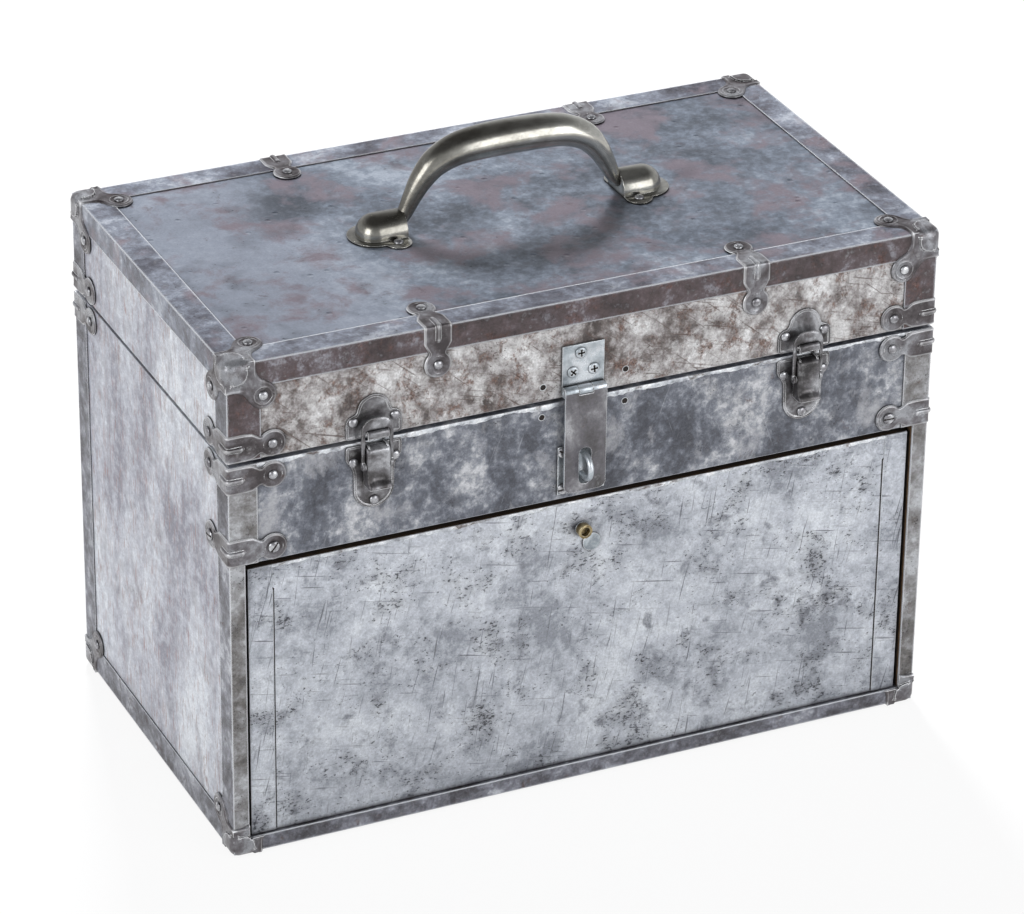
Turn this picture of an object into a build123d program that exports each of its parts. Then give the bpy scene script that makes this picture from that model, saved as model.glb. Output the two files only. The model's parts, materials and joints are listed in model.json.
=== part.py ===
from build123d import *
import os
from math import radians, sin, cos

# A steel-clad wooden tool chest with a hinged lid, a lift-out front panel and three drawers.
# Millimetres, +X right, +Z up, and the front with the latches faces -Y.
# The pieces are drawn about the middle of the case. They are written about the middle of
# the whole footprint, which reaches from the padlock eye at the front to the rear hinges.

# The case, measured over its edge trims
case_width = 508.0
case_depth = 280.0
case_height = 362.0
body_height = 289.5
parting_gap = 3.0

# Wood and sheet gauges
board_thick = 9.5
till_floor_thick = 6.0
cladding_thick = 0.6
trim_thick = 0.8
fitting_thick = 1.0

# The till, the shallow box under the lid, begins this high above the trims
till_bottom = 217.5

# Edge trims
trim_leg = 20.0
lid_corner_leg = 23.0
lid_trim_drop = 18.0
ledge_depth = 12.0

# Stamped corner fittings: a strap, a neck and a round end with a rivet
strap_tall = 19.5
neck_tall = 12.6
neck_back = 9.0
shoulder_back = 15.0
lobe_radius = 9.5
corner_reach = 30.5
edge_reach = 27.0
rib_long = 11.0
rib_tall = 2.4
rib_proud = 1.0
edge_clamp_spacing = 228.0
lid_hardware_shift = 5.0

# Domed corner caps
cap_square = 20.0
cap_reach = 24.5
cap_proud = 2.2
cap_bevel = 1.8
cap_dome = 14.0
cap_dome_radius = 25.6

# Rivets and screws
rivet_head_radius = 3.3
rivet_head_tall = 1.7
shank_radius = 1.6
shank_long = 7.0
screw_head_radius = 4.0
screw_head_tall = 1.4
cross_long = 5.2
slot_wide = 1.2
slot_deep = 0.7
running_gap = 0.05
seat_gap = 0.3

# Rear butt hinges
hinge_spacing = 300.0
hinge_wide = 50.0
hinge_leaf_tall = 24.0
hinge_rivet_up = 15.0
hinge_rivet_spread = 30.0
hinge_sheet = 1.4
knuckle_radius = 3.4
hinge_pin_radius = 1.6
knuckle_gap = 0.3

# Hasp
hasp_center = -6.0
hasp_wide = 30.0
hasp_sheet = 1.5
hasp_knuckle_radius = 3.6
hasp_pin_radius = 1.8
hasp_axis_above_lid_edge = 4.8
hasp_leaf_top = 37.0
hasp_screw_side = 7.5
hasp_screw_up = 13.0
hasp_top_screw_side = -2.0
hasp_top_screw_down = 6.0
hasp_strap_long = 73.0
hasp_strap_round = 5.0
hasp_slot_wide = 9.0
hasp_slot_tall = 27.0
hasp_slot_from_end = 5.0
staple_wire = 2.0
staple_eye = 8.5
staple_reach = 18.0
staple_plate_wide = 34.0
staple_plate_tall = 35.0
staple_plate_drop = 4.0
staple_plate_thick = 1.2

# Draw latches
latch_center = 1.5
latch_spacing = 310.0
latch_plate_wide = 39.0
strike_tall = 30.0
strike_ear_tall = 17.0
strike_bell_radius = 11.5
strike_round = 3.0
strike_rivet_up = 12.5
latch_rivet_spread = 29.0
base_tall = 46.5
base_below_rim = 2.0
base_ear_tall = 10.0
base_foot_radius = 14.0
base_rivet_down = 11.5
base_foot_rivet_up = 5.5
latch_sheet = 1.2
hook_wide = 15.0
hook_up = 7.4
hook_out = 9.2
hook_sheet = 1.5
hook_lip = 5.4
lever_wide = 16.4
lever_long = 28.5
lever_sheet = 1.0
lever_deep = 7.2
lever_lip = 3.5
lever_pivot_below_rim = 4.5
lever_pivot_out = 6.4
lever_pin_radius = 1.25
loop_pivot_drop = 11.0
loop_pivot_radius = 1.2
loop_wide = 22.0
loop_thick = 2.0
loop_bar_tall = 8.0
loop_round = 5.0
loop_boss_radius = 3.0
latch_side_gap = 0.4
lever_head_radius = 3.2

# Carrying handle
handle_span = 158.0
handle_rise = 46.0
handle_axis_up = 9.0
handle_mid_radius = 12.0
handle_end_radius = 5.0
handle_stub_radius = 4.0
handle_stub_long = 12.0
socket_long = 32.0
socket_wide = 26.0
socket_tall = 16.0
socket_sheet = 1.2
socket_flange = 5.5
socket_ear_reach = 17.0
socket_ear_radius = 9.0
socket_ear_from_mouth = 9.0

# Half of the arch of the grip, from its end to its middle: shares of the half span, of the
# rise and of the swelling from the end radius to the middle radius
handle_arch = [
    (1.0, 0.0, 0.0), (0.955, 0.12, 0.06), (0.9, 0.31, 0.2), (0.815, 0.56, 0.42),
    (0.69, 0.79, 0.66), (0.5, 0.94, 0.86), (0.27, 0.99, 0.97), (0.0, 1.0, 1.0),
]

# Front panel, its stud and keyhole cover
panel_board_thick = 6.0
panel_sheet = 0.8
panel_recess = 3.0
panel_side_gap = 2.6
panel_top_gap = 5.3
panel_hem = 17.0
panel_hem_proud = 0.5
stud_x = -3.0
stud_height = 193.0
stud_radius = 5.0
stud_proud = 6.5
stud_bore = 3.2
cover_radius = 6.5
cover_tab_wide = 6.0
cover_thick = 0.8
cover_swing = 13.5
cover_lean = 32.0
lock_wide = 40.0
lock_tall = 34.0
lock_deep = 9.0
lock_above_stud = 12.0
keyhole_radius = 1.6
keyhole_slot_wide = 1.6
keyhole_slot_tall = 4.5

# Drawers, whose heights share the room under the till in these parts
drawer_parts = [84.0, 62.0, 50.0]
drawer_names = ["bottom", "middle", "top"]
drawer_sheet = 0.8
drawer_side_gap = 1.0
drawer_lift = 0.5
runner_thick = 2.0
runner_wide = 10.0
pull_room = 17.0
pull_spread = 240.0
pull_radius = 7.0
pull_neck_radius = 3.0
pull_proud = 13.0
pull_head_thick = 5.0
drawer_back_gap = 2.0
drawer_top_gap = 4.5

# Faces and levels that follow from the sizes above
floor_gap = cap_proud
half_w = case_width / 2
half_d = case_depth / 2
clad_x = half_w - trim_thick
clad_y = half_d - trim_thick
wood_x = clad_x - cladding_thick
wood_y = clad_y - cladding_thick
in_x = wood_x - board_thick
in_y = wood_y - board_thick
trim_bottom = floor_gap
base_low = trim_bottom + trim_thick
base_top = base_low + board_thick
ledge_top = base_top + trim_thick
till_low = floor_gap + till_bottom
rim = floor_gap + body_height
rim_board = rim - cladding_thick
lid_low = rim + parting_gap
lid_board_low = lid_low + cladding_thick
lid_top = floor_gap + case_height
lid_clad_top = lid_top - trim_thick
lid_wood_top = lid_clad_top - cladding_thick
lid_wood_low = lid_wood_top - board_thick
drawer_step = drawer_lift + runner_thick + seat_gap
drawer_room = till_low - drawer_top_gap - ledge_top - seat_gap
drawer_tall = drawer_room - (len(drawer_parts) - 1) * drawer_step
drawer_heights = [drawer_tall * part / sum(drawer_parts) for part in drawer_parts]
far = 2 * case_width
footprint_shift = (staple_reach - 2 * knuckle_radius) / 2


def block(x0, x1, y0, y1, z0, z1):
    size = (x1 - x0, y1 - y0, z1 - z0)
    return Pos((x0 + x1) / 2, (y0 + y1) / 2, (z0 + z1) / 2) * Box(*size)


def both_sides(shape):
    """The shape and its mirror image across the middle of the chest."""
    return [shape, mirror(shape, Plane.YZ)]


def round_bar(radius, start, end):
    """A cylinder from one point to another."""
    start = Vector(start)
    run = Vector(end) - start
    return Plane(origin=start, z_dir=run) * Pos(0, 0, run.length / 2) * Cylinder(radius, run.length)


def plate(outline, plane, thick):
    """A flat outline drawn on a plane and given its thickness outwards."""
    return extrude(plane * outline, thick)


# Places of the four upright corners: sign of x, sign of y and turn about Z
CORNERS = [(1, -1, 0), (1, 1, 90), (-1, 1, 180), (-1, -1, 270)]
FRONT_FACE = Plane(origin=(0, 0, 0), x_dir=(1, 0, 0), z_dir=(0, -1, 0))
SIDE_FACE = Plane(origin=(0, 0, 0), x_dir=(0, 0, 1), z_dir=(1, 0, 0))
TOP_FACE = Plane(origin=(0, 0, 0), x_dir=(0, -1, 0), z_dir=(0, 0, 1))


# Fasteners stand on local +Z, with the underside of the head at zero
def rivet():
    sphere_radius = (rivet_head_radius**2 + rivet_head_tall**2) / (2 * rivet_head_tall)
    ball = Pos(0, 0, rivet_head_tall - sphere_radius) * Sphere(sphere_radius)
    head = ball & (Pos(0, 0, sphere_radius) * Box(far, far, 2 * sphere_radius))
    shank = Pos(0, 0, -shank_long / 2) * Cylinder(shank_radius, shank_long)
    return head + shank


def screw(slots):
    head = Pos(0, 0, screw_head_tall / 2) * Cylinder(screw_head_radius, screw_head_tall)
    head = chamfer(head.edges().group_by(Axis.Z)[-1], slot_deep / 2)
    for turn in slots:
        long = 2 * screw_head_radius if len(slots) == 1 else cross_long
        cut = Pos(0, 0, screw_head_tall - slot_deep / 2) * Box(long, slot_wide, slot_deep)
        head -= Rot(0, 0, turn) * cut
    shank = Pos(0, 0, -shank_long / 2) * Cylinder(shank_radius, shank_long)
    return head + shank


def fastener_hole():
    return Pos(0, 0, -shank_long / 2) * Cylinder(shank_radius + running_gap, shank_long + seat_gap)


def stand_on(point, normal):
    return Plane(origin=point, z_dir=normal).location


def drilled(shape, places):
    """The shape with a hole for each fastener that reaches it."""
    box = shape.bounding_box()
    for place in places:
        spot = place.position
        margin = shank_long
        near = all(
            low - margin <= value <= high + margin
            for low, value, high in zip(tuple(box.min), tuple(spot), tuple(box.max))
        )
        if near:
            shape = shape - place * fastener_hole()
    return shape


# A folded strap fitting for an edge that runs along Z, with its legs to -X and to +Y
def strap_outline(reach):
    half = strap_tall / 2
    neck = neck_tall / 2
    points = [
        (0, -half), (0, half), (shoulder_back - reach, half), (neck_back - reach, neck),
        (-reach, neck), (-reach, -neck), (neck_back - reach, -neck), (shoulder_back - reach, -half),
    ]
    return make_face(Polyline(*points, close=True)) + Pos(-reach, 0) * Circle(lobe_radius)


def strap_fitting(reach):
    outline = strap_outline(reach)
    side_plane = Plane(origin=(0, 0, 0), x_dir=(0, -1, 0), z_dir=(1, 0, 0))
    bend = block(0, fitting_thick, -fitting_thick, 0, -strap_tall / 2, strap_tall / 2)
    out = fitting_thick + rib_proud
    rib_z = rib_tall / 2
    rib = block(-rib_long, out, -out, 0, -rib_z, rib_z)
    rib += block(0, out, -out, rib_long, -rib_z, rib_z)
    rib -= block(-far, 0, 0, far, -far, far)
    front_leg = plate(outline, FRONT_FACE, fitting_thick)
    side_leg = plate(outline, side_plane, fitting_thick)
    return front_leg + side_leg + bend + rib


def strap_fasteners(reach):
    front = stand_on((-reach, -fitting_thick, 0), (0, -1, 0))
    side = stand_on((fitting_thick, reach, 0), (1, 0, 0))
    return [front, side]


def corner_place(corner, height):
    sx, sy, turn = corner
    return Location((sx * half_w, sy * half_d, height), (0, 0, turn))


def edge_clamp_places():
    """Where the fittings fold over the front and rear top edges of the lid."""
    places = []
    for side in (-1, 1):
        x = lid_hardware_shift + side * edge_clamp_spacing / 2
        places.append(Location((x, -half_d, lid_top)) * Location((0, 0, 0), (0, -90, 0)))
        rear = Location((x, half_d, lid_top), (0, 0, 180)) * Location((0, 0, 0), (0, -90, 0))
        places.append(rear)
    return places


# A cap over a corner whose faces are -Y, +X and +Z
def corner_cap():
    square = cap_square + fitting_thick
    shift = fitting_thick - square / 2
    outline = Pos(shift, shift) * Rectangle(square, square)
    outline += Pos(-cap_reach, -cap_reach) * Circle(lobe_radius)
    shell = block(-cap_dome, cap_proud, -cap_proud, cap_dome, -cap_dome, cap_proud)
    tip = Vector(cap_proud, -cap_proud, cap_proud)
    outer_edges = [
        edge for edge in shell.edges()
        if min((corner.center() - tip).length for corner in edge.vertices()) < running_gap
    ]
    dome_place = Pos(-cap_dome, cap_dome, -cap_dome)
    cap = chamfer(outer_edges, cap_bevel) & (dome_place * Sphere(cap_dome_radius))
    cap -= block(-far, 0, 0, far, -far, 0)
    for face in (FRONT_FACE, SIDE_FACE, TOP_FACE):
        cap += plate(outline, face, fitting_thick)
    return cap


def cap_fasteners():
    front = stand_on((-cap_reach, -fitting_thick, -cap_reach), (0, -1, 0))
    side = stand_on((fitting_thick, cap_reach, -cap_reach), (1, 0, 0))
    top = stand_on((-cap_reach, cap_reach, fitting_thick), (0, 0, 1))
    return front, side, top


# Turned so that the face that was +Z is on the right and the one that was +X is underneath
def bottom_cap_place(corner):
    return corner_place(corner, trim_bottom) * Location((0, 0, 0), (0, 90, 0))


def placed(shape, places):
    return [place * shape for place in places]


# Boards of the body
def body_boards():
    side = block(in_x, wood_x, -wood_y, wood_y, base_low, rim_board)
    return {
        "side_board_left": mirror(side, Plane.YZ),
        "side_board_right": side,
        "back_board": block(-in_x, in_x, in_y, wood_y, base_low, rim_board),
        "base_board": block(-in_x, in_x, -wood_y, in_y, base_low, base_top),
        "till_front_board": block(-in_x, in_x, -wood_y, -in_y, till_low, rim_board),
        "till_floor_board": block(-in_x, in_x, -in_y, in_y, till_low, till_low + till_floor_thick),
    }


def body_cladding():
    """One sheet bent round the left side, back and right side, folded over the rim and the posts."""
    sheet = block(-clad_x, clad_x, -clad_y, clad_y, base_low, rim)
    sheet -= block(-wood_x, wood_x, -wood_y, wood_y, 0, rim_board)
    sheet -= block(-in_x, in_x, -far, in_y, 0, far)
    sheet -= block(-far, far, -far, -wood_y, till_low, far)
    sheet -= block(-wood_x, wood_x, -wood_y, -in_y, rim_board, far)
    return sheet


def till_front_cladding():
    sheet = block(-clad_x, clad_x, -clad_y, -wood_y, till_low, rim)
    return sheet + block(-wood_x, wood_x, -wood_y, -in_y, rim_board, rim)


# Trims of the body
def bottom_front_trim():
    """A channel over the front edge of the base, with a ledge that the panel stands on."""
    trim = block(-half_w, half_w, -half_d, -half_d + trim_leg, trim_bottom, ledge_top)
    trim -= block(-clad_x, clad_x, -clad_y, far, base_low, base_top)
    trim -= block(-far, far, -half_d + ledge_depth, far, base_low, far)
    trim -= block(in_x, far, -clad_y, far, base_low, far)
    trim -= block(-far, -in_x, -clad_y, far, base_low, far)
    return trim


def bottom_rear_trim():
    trim = block(-half_w, half_w, half_d - trim_leg, half_d, trim_bottom, trim_bottom + trim_leg)
    return trim - block(-far, far, -far, clad_y, base_low, far)


def bottom_side_trim():
    trim = block(half_w - trim_leg, half_w, -half_d, half_d, trim_bottom, trim_bottom + trim_leg)
    trim -= block(-far, clad_x, -far, far, base_low, far)
    trim -= block(-far, far, clad_y, far, 0, far)
    trim -= block(-far, far, -far, -clad_y, 0, far)
    trim -= block(-far, far, half_d - trim_leg, far, 0, base_low)
    return trim - block(-far, far, -far, -half_d + trim_leg, 0, base_low)


def front_corner_trim():
    """An angle at the front, cut back to the width of the post beside the panel."""
    trim = block(half_w - trim_leg, half_w, -half_d, -half_d + trim_leg, trim_bottom, rim)
    trim -= block(-far, clad_x, -clad_y, far, 0, far)
    trim -= block(-far, in_x, -far, -clad_y, 0, till_low)
    trim -= block(-far, far, -clad_y, far, 0, trim_bottom + trim_leg)
    return trim - block(-far, far, -far, far, 0, ledge_top)


def rear_corner_trim():
    trim = block(half_w - trim_leg, half_w, half_d - trim_leg, half_d, trim_bottom + trim_leg, rim)
    return trim - block(-far, clad_x, -far, clad_y, 0, far)


def bottom_caps():
    cap = corner_cap()
    opening = block(-in_x, in_x, -far, -half_d, ledge_top, far)
    return [bottom_cap_place(corner) * cap - opening for corner in CORNERS]


def bottom_cap_fasteners():
    """The rear caps are riveted on two faces and the front ones on their side alone."""
    places = []
    for corner in CORNERS:
        front, side, top = cap_fasteners()
        here = [bottom_cap_place(corner) * at for at in (front, top)]
        for place in here:
            direction = Plane(place).z_dir
            if direction.Y > -cos(radians(60)):
                places.append(place)
    return places


# The lid
def lid_boards():
    end = block(in_x, wood_x, -wood_y, wood_y, lid_board_low, lid_wood_low)
    front = block(-in_x, in_x, -wood_y, -in_y, lid_board_low, lid_wood_low)
    return {
        "lid_top_board": block(-wood_x, wood_x, -wood_y, wood_y, lid_wood_low, lid_wood_top),
        "lid_front_board": front,
        "lid_back_board": mirror(front, Plane.XZ),
        "lid_end_boards": both_sides(end),
    }


def lid_band_cladding():
    """The sheet round the four sides of the lid, folded under their lower edges."""
    sheet = block(-clad_x, clad_x, -clad_y, clad_y, lid_low, lid_wood_top)
    sheet -= block(-wood_x, wood_x, -wood_y, wood_y, lid_board_low, far)
    return sheet - block(-in_x, in_x, -in_y, in_y, 0, far)


def lid_long_trim():
    trim = block(-half_w, half_w, -half_d, -half_d + trim_leg, lid_top - lid_trim_drop, lid_top)
    return trim - block(-far, far, -clad_y, far, 0, lid_clad_top)


def lid_end_trim():
    trim = block(half_w - trim_leg, half_w, -clad_y, clad_y, lid_top - lid_trim_drop, lid_top)
    trim -= block(-far, clad_x, -far, far, 0, lid_clad_top)
    trim -= block(-far, far, -far, -half_d + trim_leg, lid_clad_top, far)
    return trim - block(-far, far, half_d - trim_leg, far, lid_clad_top, far)


def lid_corner_trim(sy):
    low = lid_low
    high = lid_top - lid_trim_drop
    trim = block(half_w - lid_corner_leg, half_w, -half_d, -half_d + trim_leg, low, high)
    trim -= block(-far, clad_x, -clad_y, far, 0, far)
    return trim if sy < 0 else mirror(trim, Plane.XZ)


# A leaf whose wall lies at -Y, hinged on the X axis and reaching up to +Z
def hinge_leaf(wide, tall, sheet, radius, pin_radius, own, others):
    leaf = block(-wide / 2, wide / 2, -radius, -radius + sheet, 0, tall)
    for start, end in own:
        leaf += round_bar(radius, (start, 0, 0), (end, 0, 0))
    for start, end in others:
        leaf -= round_bar(radius + seat_gap, (start - knuckle_gap, 0, 0), (end + knuckle_gap, 0, 0))
    return leaf - round_bar(pin_radius + running_gap, (-far, 0, 0), (far, 0, 0))


def knuckles(wide):
    """Spans of the outer pair and of the middle knuckle, with running gaps between them."""
    third = wide / 6
    outer = [(-wide / 2, -third - knuckle_gap / 2), (third + knuckle_gap / 2, wide / 2)]
    middle = [(-third + knuckle_gap / 2, third - knuckle_gap / 2)]
    return outer, middle


hinge_axis_y = clad_y + knuckle_radius
hinge_axis_z = (rim + lid_low) / 2


def rear_hinge_places():
    return [Location((side * hinge_spacing / 2, hinge_axis_y, hinge_axis_z)) for side in (-1, 1)]


def rear_leaf(own, others):
    leaf = hinge_leaf(
        hinge_wide, hinge_leaf_tall, hinge_sheet, knuckle_radius, hinge_pin_radius, own, others
    )
    for side in (-1, 1):
        leaf -= rear_leaf_fasteners()[(side + 1) // 2] * fastener_hole()
    return leaf


def rear_leaf_fasteners():
    places = []
    for side in (-1, 1):
        point = (side * hinge_rivet_spread / 2, -knuckle_radius + hinge_sheet, hinge_rivet_up)
        places.append(stand_on(point, (0, 1, 0)))
    return places


def rear_hinges():
    outer, middle = knuckles(hinge_wide)
    lid_leaf = rear_leaf(middle, outer)
    body_leaf = mirror(rear_leaf(outer, middle), Plane.XY)
    pin = round_bar(hinge_pin_radius, (-hinge_wide / 2, 0, 0), (hinge_wide / 2, 0, 0))
    places = rear_hinge_places()
    return {
        "hinge_lid_leaves": placed(lid_leaf, places),
        "hinge_body_leaves": placed(body_leaf, places),
        "hinge_pins": placed(pin, places),
    }


# The hasp is hinged on the lid, and its strap hangs clear of the front over the staple
hasp_axis_y = -clad_y - hasp_knuckle_radius
hasp_axis_z = lid_low + hasp_axis_above_lid_edge
strap_low = hasp_axis_z - hasp_strap_long
slot_low = strap_low + hasp_slot_from_end
staple_z = slot_low + hasp_slot_tall / 2
staple_plate_z = staple_z - staple_plate_drop
hasp_place = Location((hasp_center, hasp_axis_y, hasp_axis_z), (0, 0, 180))


def hasp_fasteners():
    out = -hasp_knuckle_radius + hasp_sheet
    leaf_tall = hasp_leaf_top - hasp_axis_above_lid_edge
    pattern = [
        (hasp_top_screw_side, leaf_tall - hasp_top_screw_down),
        (-hasp_screw_side, hasp_screw_up), (hasp_screw_side, hasp_screw_up),
    ]
    return [hasp_place * stand_on((-x, out, z), (0, 1, 0)) for x, z in pattern]


def hasp_leaf():
    outer, middle = knuckles(hasp_wide)
    leaf_tall = hasp_leaf_top - hasp_axis_above_lid_edge
    leaf = hinge_leaf(
        hasp_wide, leaf_tall, hasp_sheet, hasp_knuckle_radius, hasp_pin_radius, middle, outer
    )
    return hasp_place * leaf


def hasp_strap():
    """The strap leaves its knuckles on the outside and drops straight down."""
    outer, middle = knuckles(hasp_wide)
    y_out = -2 * hasp_knuckle_radius - clad_y
    x0 = hasp_center - hasp_wide / 2
    strap = block(x0, x0 + hasp_wide, y_out, y_out + hasp_sheet, strap_low, hasp_axis_z)
    low_edges = strap.edges().filter_by(Axis.Y).group_by(Axis.Z)[0]
    strap = fillet(low_edges, hasp_strap_round)
    for start, end in outer:
        here = (hasp_center + start, hasp_axis_y, hasp_axis_z)
        there = (hasp_center + end, hasp_axis_y, hasp_axis_z)
        strap += round_bar(hasp_knuckle_radius, here, there)
    for start, end in middle:
        here = (hasp_center + start - knuckle_gap, hasp_axis_y, hasp_axis_z)
        there = (hasp_center + end + knuckle_gap, hasp_axis_y, hasp_axis_z)
        strap -= round_bar(hasp_knuckle_radius + seat_gap, here, there)
    along = (far, hasp_axis_y, hasp_axis_z)
    strap -= round_bar(hasp_pin_radius + running_gap, (-far, hasp_axis_y, hasp_axis_z), along)
    slot = SlotOverall(hasp_slot_tall, hasp_slot_wide, rotation=90)
    return strap - Pos(hasp_center, -half_d, staple_z) * plate(slot, FRONT_FACE, far)


def hasp_pin():
    reach = hasp_wide / 2 + seat_gap
    start = (hasp_center - reach, hasp_axis_y, hasp_axis_z)
    return round_bar(hasp_pin_radius, start, (hasp_center + reach, hasp_axis_y, hasp_axis_z))


def staple_fasteners():
    places = []
    for side in (-1, 1):
        x = hasp_center + side * (staple_plate_wide / 2 - screw_head_radius)
        for level in (-1, 1):
            z = staple_plate_z + level * (staple_plate_tall / 2 - screw_head_radius)
            places.append(stand_on((x, -clad_y - staple_plate_thick, z), (0, -1, 0)))
    return places


def hasp_staple():
    """A plate on the till front with a wire eye that stands out through the strap's slot."""
    x0 = hasp_center - staple_plate_wide / 2
    z0 = staple_plate_z - staple_plate_tall / 2
    y1 = -clad_y
    staple = block(x0, x0 + staple_plate_wide, y1 - staple_plate_thick, y1, z0, z0 + staple_plate_tall)
    ring_plane = Plane(origin=(hasp_center, y1, staple_z), x_dir=(0, -1, 0), z_dir=(1, 0, 0))
    wire_start = Plane(origin=(hasp_center, y1, staple_z + staple_eye), z_dir=(0, -1, 0))
    straight = staple_reach - staple_eye - staple_wire
    path_points = [(0, staple_eye), (straight, staple_eye), (straight, -staple_eye), (0, -staple_eye)]
    bend = ThreePointArc(path_points[1], (straight + staple_eye, 0), path_points[2])
    path = Line(path_points[0], path_points[1]) + bend + Line(path_points[2], path_points[3])
    wire = sweep(wire_start * Circle(staple_wire), path=ring_plane * path)
    return staple + wire


# Draw latches, built about x = 0 with the case front at y = 0 and turned outwards to -Y
def latch_places():
    return [Location((latch_center + side * latch_spacing / 2, 0, 0)) for side in (-1, 1)]


front_seat = -clad_y
lever_pivot_y = front_seat - lever_pivot_out
lever_pivot_z = rim - lever_pivot_below_rim
loop_pivot_z = lever_pivot_z - loop_pivot_drop
hook_top = lid_low + hook_up


def strike_outline():
    ear = Pos(0, strike_ear_tall / 2) * RectangleRounded(latch_plate_wide, strike_ear_tall, strike_round)
    bell = Pos(0, strike_tall - strike_bell_radius) * Circle(strike_bell_radius)
    stem_tall = strike_tall - strike_bell_radius
    return ear + bell + Pos(0, stem_tall / 2) * Rectangle(2 * strike_bell_radius, stem_tall)


def strike_plate():
    """The plate on the lid, with a hooked tab under the loop's crossbar."""
    seat = Pos(0, front_seat, lid_low)
    strike = seat * plate(strike_outline(), FRONT_FACE, latch_sheet)
    out = front_seat - hook_out
    half = hook_wide / 2
    strike += block(-half, half, out, front_seat, hook_top - hook_sheet, hook_top)
    return strike + block(-half, half, out, out + hook_sheet, hook_top - hook_lip, hook_top)


def strike_fasteners():
    places = []
    for side in (-1, 1):
        point = (side * latch_rivet_spread / 2, front_seat - latch_sheet, lid_low + strike_rivet_up)
        places.append(stand_on(point, (0, -1, 0)))
    return places


base_plate_top = rim - base_below_rim
base_plate_low = base_plate_top - base_tall


def base_outline():
    """Drawn with its foot at zero: a round foot, sloping sides and square upper ears."""
    half = latch_plate_wide / 2
    shoulder = base_tall - base_ear_tall
    points = [
        (-base_foot_radius, base_foot_radius), (base_foot_radius, base_foot_radius),
        (half, shoulder), (half, base_tall), (-half, base_tall), (-half, shoulder),
    ]
    return make_face(Polyline(*points, close=True)) + Pos(0, base_foot_radius) * Circle(base_foot_radius)


def base_plate():
    """The plate on the body, with two ears that carry the lever's pin."""
    base = Pos(0, front_seat, base_plate_low) * plate(base_outline(), FRONT_FACE, latch_sheet)
    ear_out = lever_wide / 2 - lever_sheet - latch_side_gap / 2
    ear_radius = lever_head_radius - lever_sheet / 2 - seat_gap
    for x0 in (-ear_out, ear_out - latch_sheet):
        x1 = x0 + latch_sheet
        here = (x0, lever_pivot_y, lever_pivot_z)
        base += round_bar(ear_radius, here, (x1, lever_pivot_y, lever_pivot_z))
        z0 = lever_pivot_z - ear_radius
        base += block(x0, x1, lever_pivot_y, front_seat, z0, lever_pivot_z + ear_radius)
    return base - lever_bore()


def lever_bore():
    radius = lever_pin_radius + running_gap
    return round_bar(radius, (-far, lever_pivot_y, lever_pivot_z), (far, lever_pivot_y, lever_pivot_z))


def base_fasteners():
    places = []
    upper = base_plate_top - base_rivet_down
    lower = base_plate_low + base_foot_rivet_up
    spread = latch_rivet_spread / 2
    for x, z in ((-spread, upper), (spread, upper), (0, lower)):
        places.append(stand_on((x, front_seat - latch_sheet, z), (0, -1, 0)))
    return places


def latch_pin():
    reach = lever_wide / 2
    start = (-reach, lever_pivot_y, lever_pivot_z)
    return round_bar(lever_pin_radius, start, (reach, lever_pivot_y, lever_pivot_z))


def lever():
    """A channel that opens to the chest, pinned at its head, with an outturned lip at its foot."""
    half = lever_wide / 2
    front = lever_pivot_y - lever_head_radius - lever_sheet / 2
    head = lever_pivot_z + lever_sheet
    foot = head - lever_long
    body = block(-half, half, front, front + lever_deep, foot, lever_pivot_z)
    here = (-half, lever_pivot_y, lever_pivot_z)
    body += round_bar(lever_head_radius, here, (half, lever_pivot_y, lever_pivot_z))
    body += block(-half, half, front, front + lever_sheet, lever_pivot_z, head)
    inner = half - lever_sheet
    body -= block(-inner, inner, front + lever_sheet, far, foot - lever_sheet, far)
    body += block(-half, half, front - lever_lip, front + lever_sheet, foot, foot + lever_sheet)
    loop_bore = loop_pivot_radius + running_gap
    body -= round_bar(loop_bore, (-far, lever_pivot_y, loop_pivot_z), (far, lever_pivot_y, loop_pivot_z))
    return body - lever_bore()


def loop():
    """A stamped bail whose crossbar bears on the hook and whose two bosses turn in the lever."""
    half = loop_wide / 2
    inner = lever_wide / 2 + latch_side_gap
    top = hook_top + seat_gap + loop_bar_tall
    y0 = lever_pivot_y - loop_thick / 2
    bail = block(-half, half, y0, y0 + loop_thick, loop_pivot_z, top)
    bail = fillet(bail.edges().filter_by(Axis.Y).group_by(Axis.Z)[-1], loop_round)
    bail -= block(-inner, inner, -far, far, loop_pivot_z - far, hook_top + seat_gap)
    for side in (-1, 1):
        low = (side * inner, lever_pivot_y, loop_pivot_z)
        bail += round_bar(loop_boss_radius, low, (side * half, lever_pivot_y, loop_pivot_z))
        end = (side * (inner - latch_side_gap - lever_sheet), lever_pivot_y, loop_pivot_z)
        bail += round_bar(loop_pivot_radius, low, end)
    return bail


# The handle is built about x = 0 on the top of the lid
handle_axis_z = lid_top - trim_thick + handle_axis_up
socket_mouth = handle_span / 2


def handle_grip():
    """A tapering bar that rises in an arch between two stubs, which turn in the sockets."""
    left = [(-x * socket_mouth, z * handle_rise, size) for x, z, size in handle_arch]
    right = [(-x, z, size) for x, z, size in reversed(left[:-1])]
    stations = left + right
    spine = Spline(*[(x, 0, handle_axis_z + z) for x, z, size in stations])
    sections = []
    for x, z, size in stations:
        at = Vector(x, 0, handle_axis_z + z)
        along = spine % spine.param_at_point(at) if size else Vector(1, 0, 0)
        radius = handle_end_radius + (handle_mid_radius - handle_end_radius) * size
        sections.append(Plane(origin=at, z_dir=along, x_dir=(0, 1, 0)) * Circle(radius))
    grip = loft(sections)
    for side in (-1, 1):
        start = (side * socket_mouth, 0, handle_axis_z)
        end = (side * (socket_mouth + handle_stub_long), 0, handle_axis_z)
        grip += round_bar(handle_stub_radius, start, end)
    return grip


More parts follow.
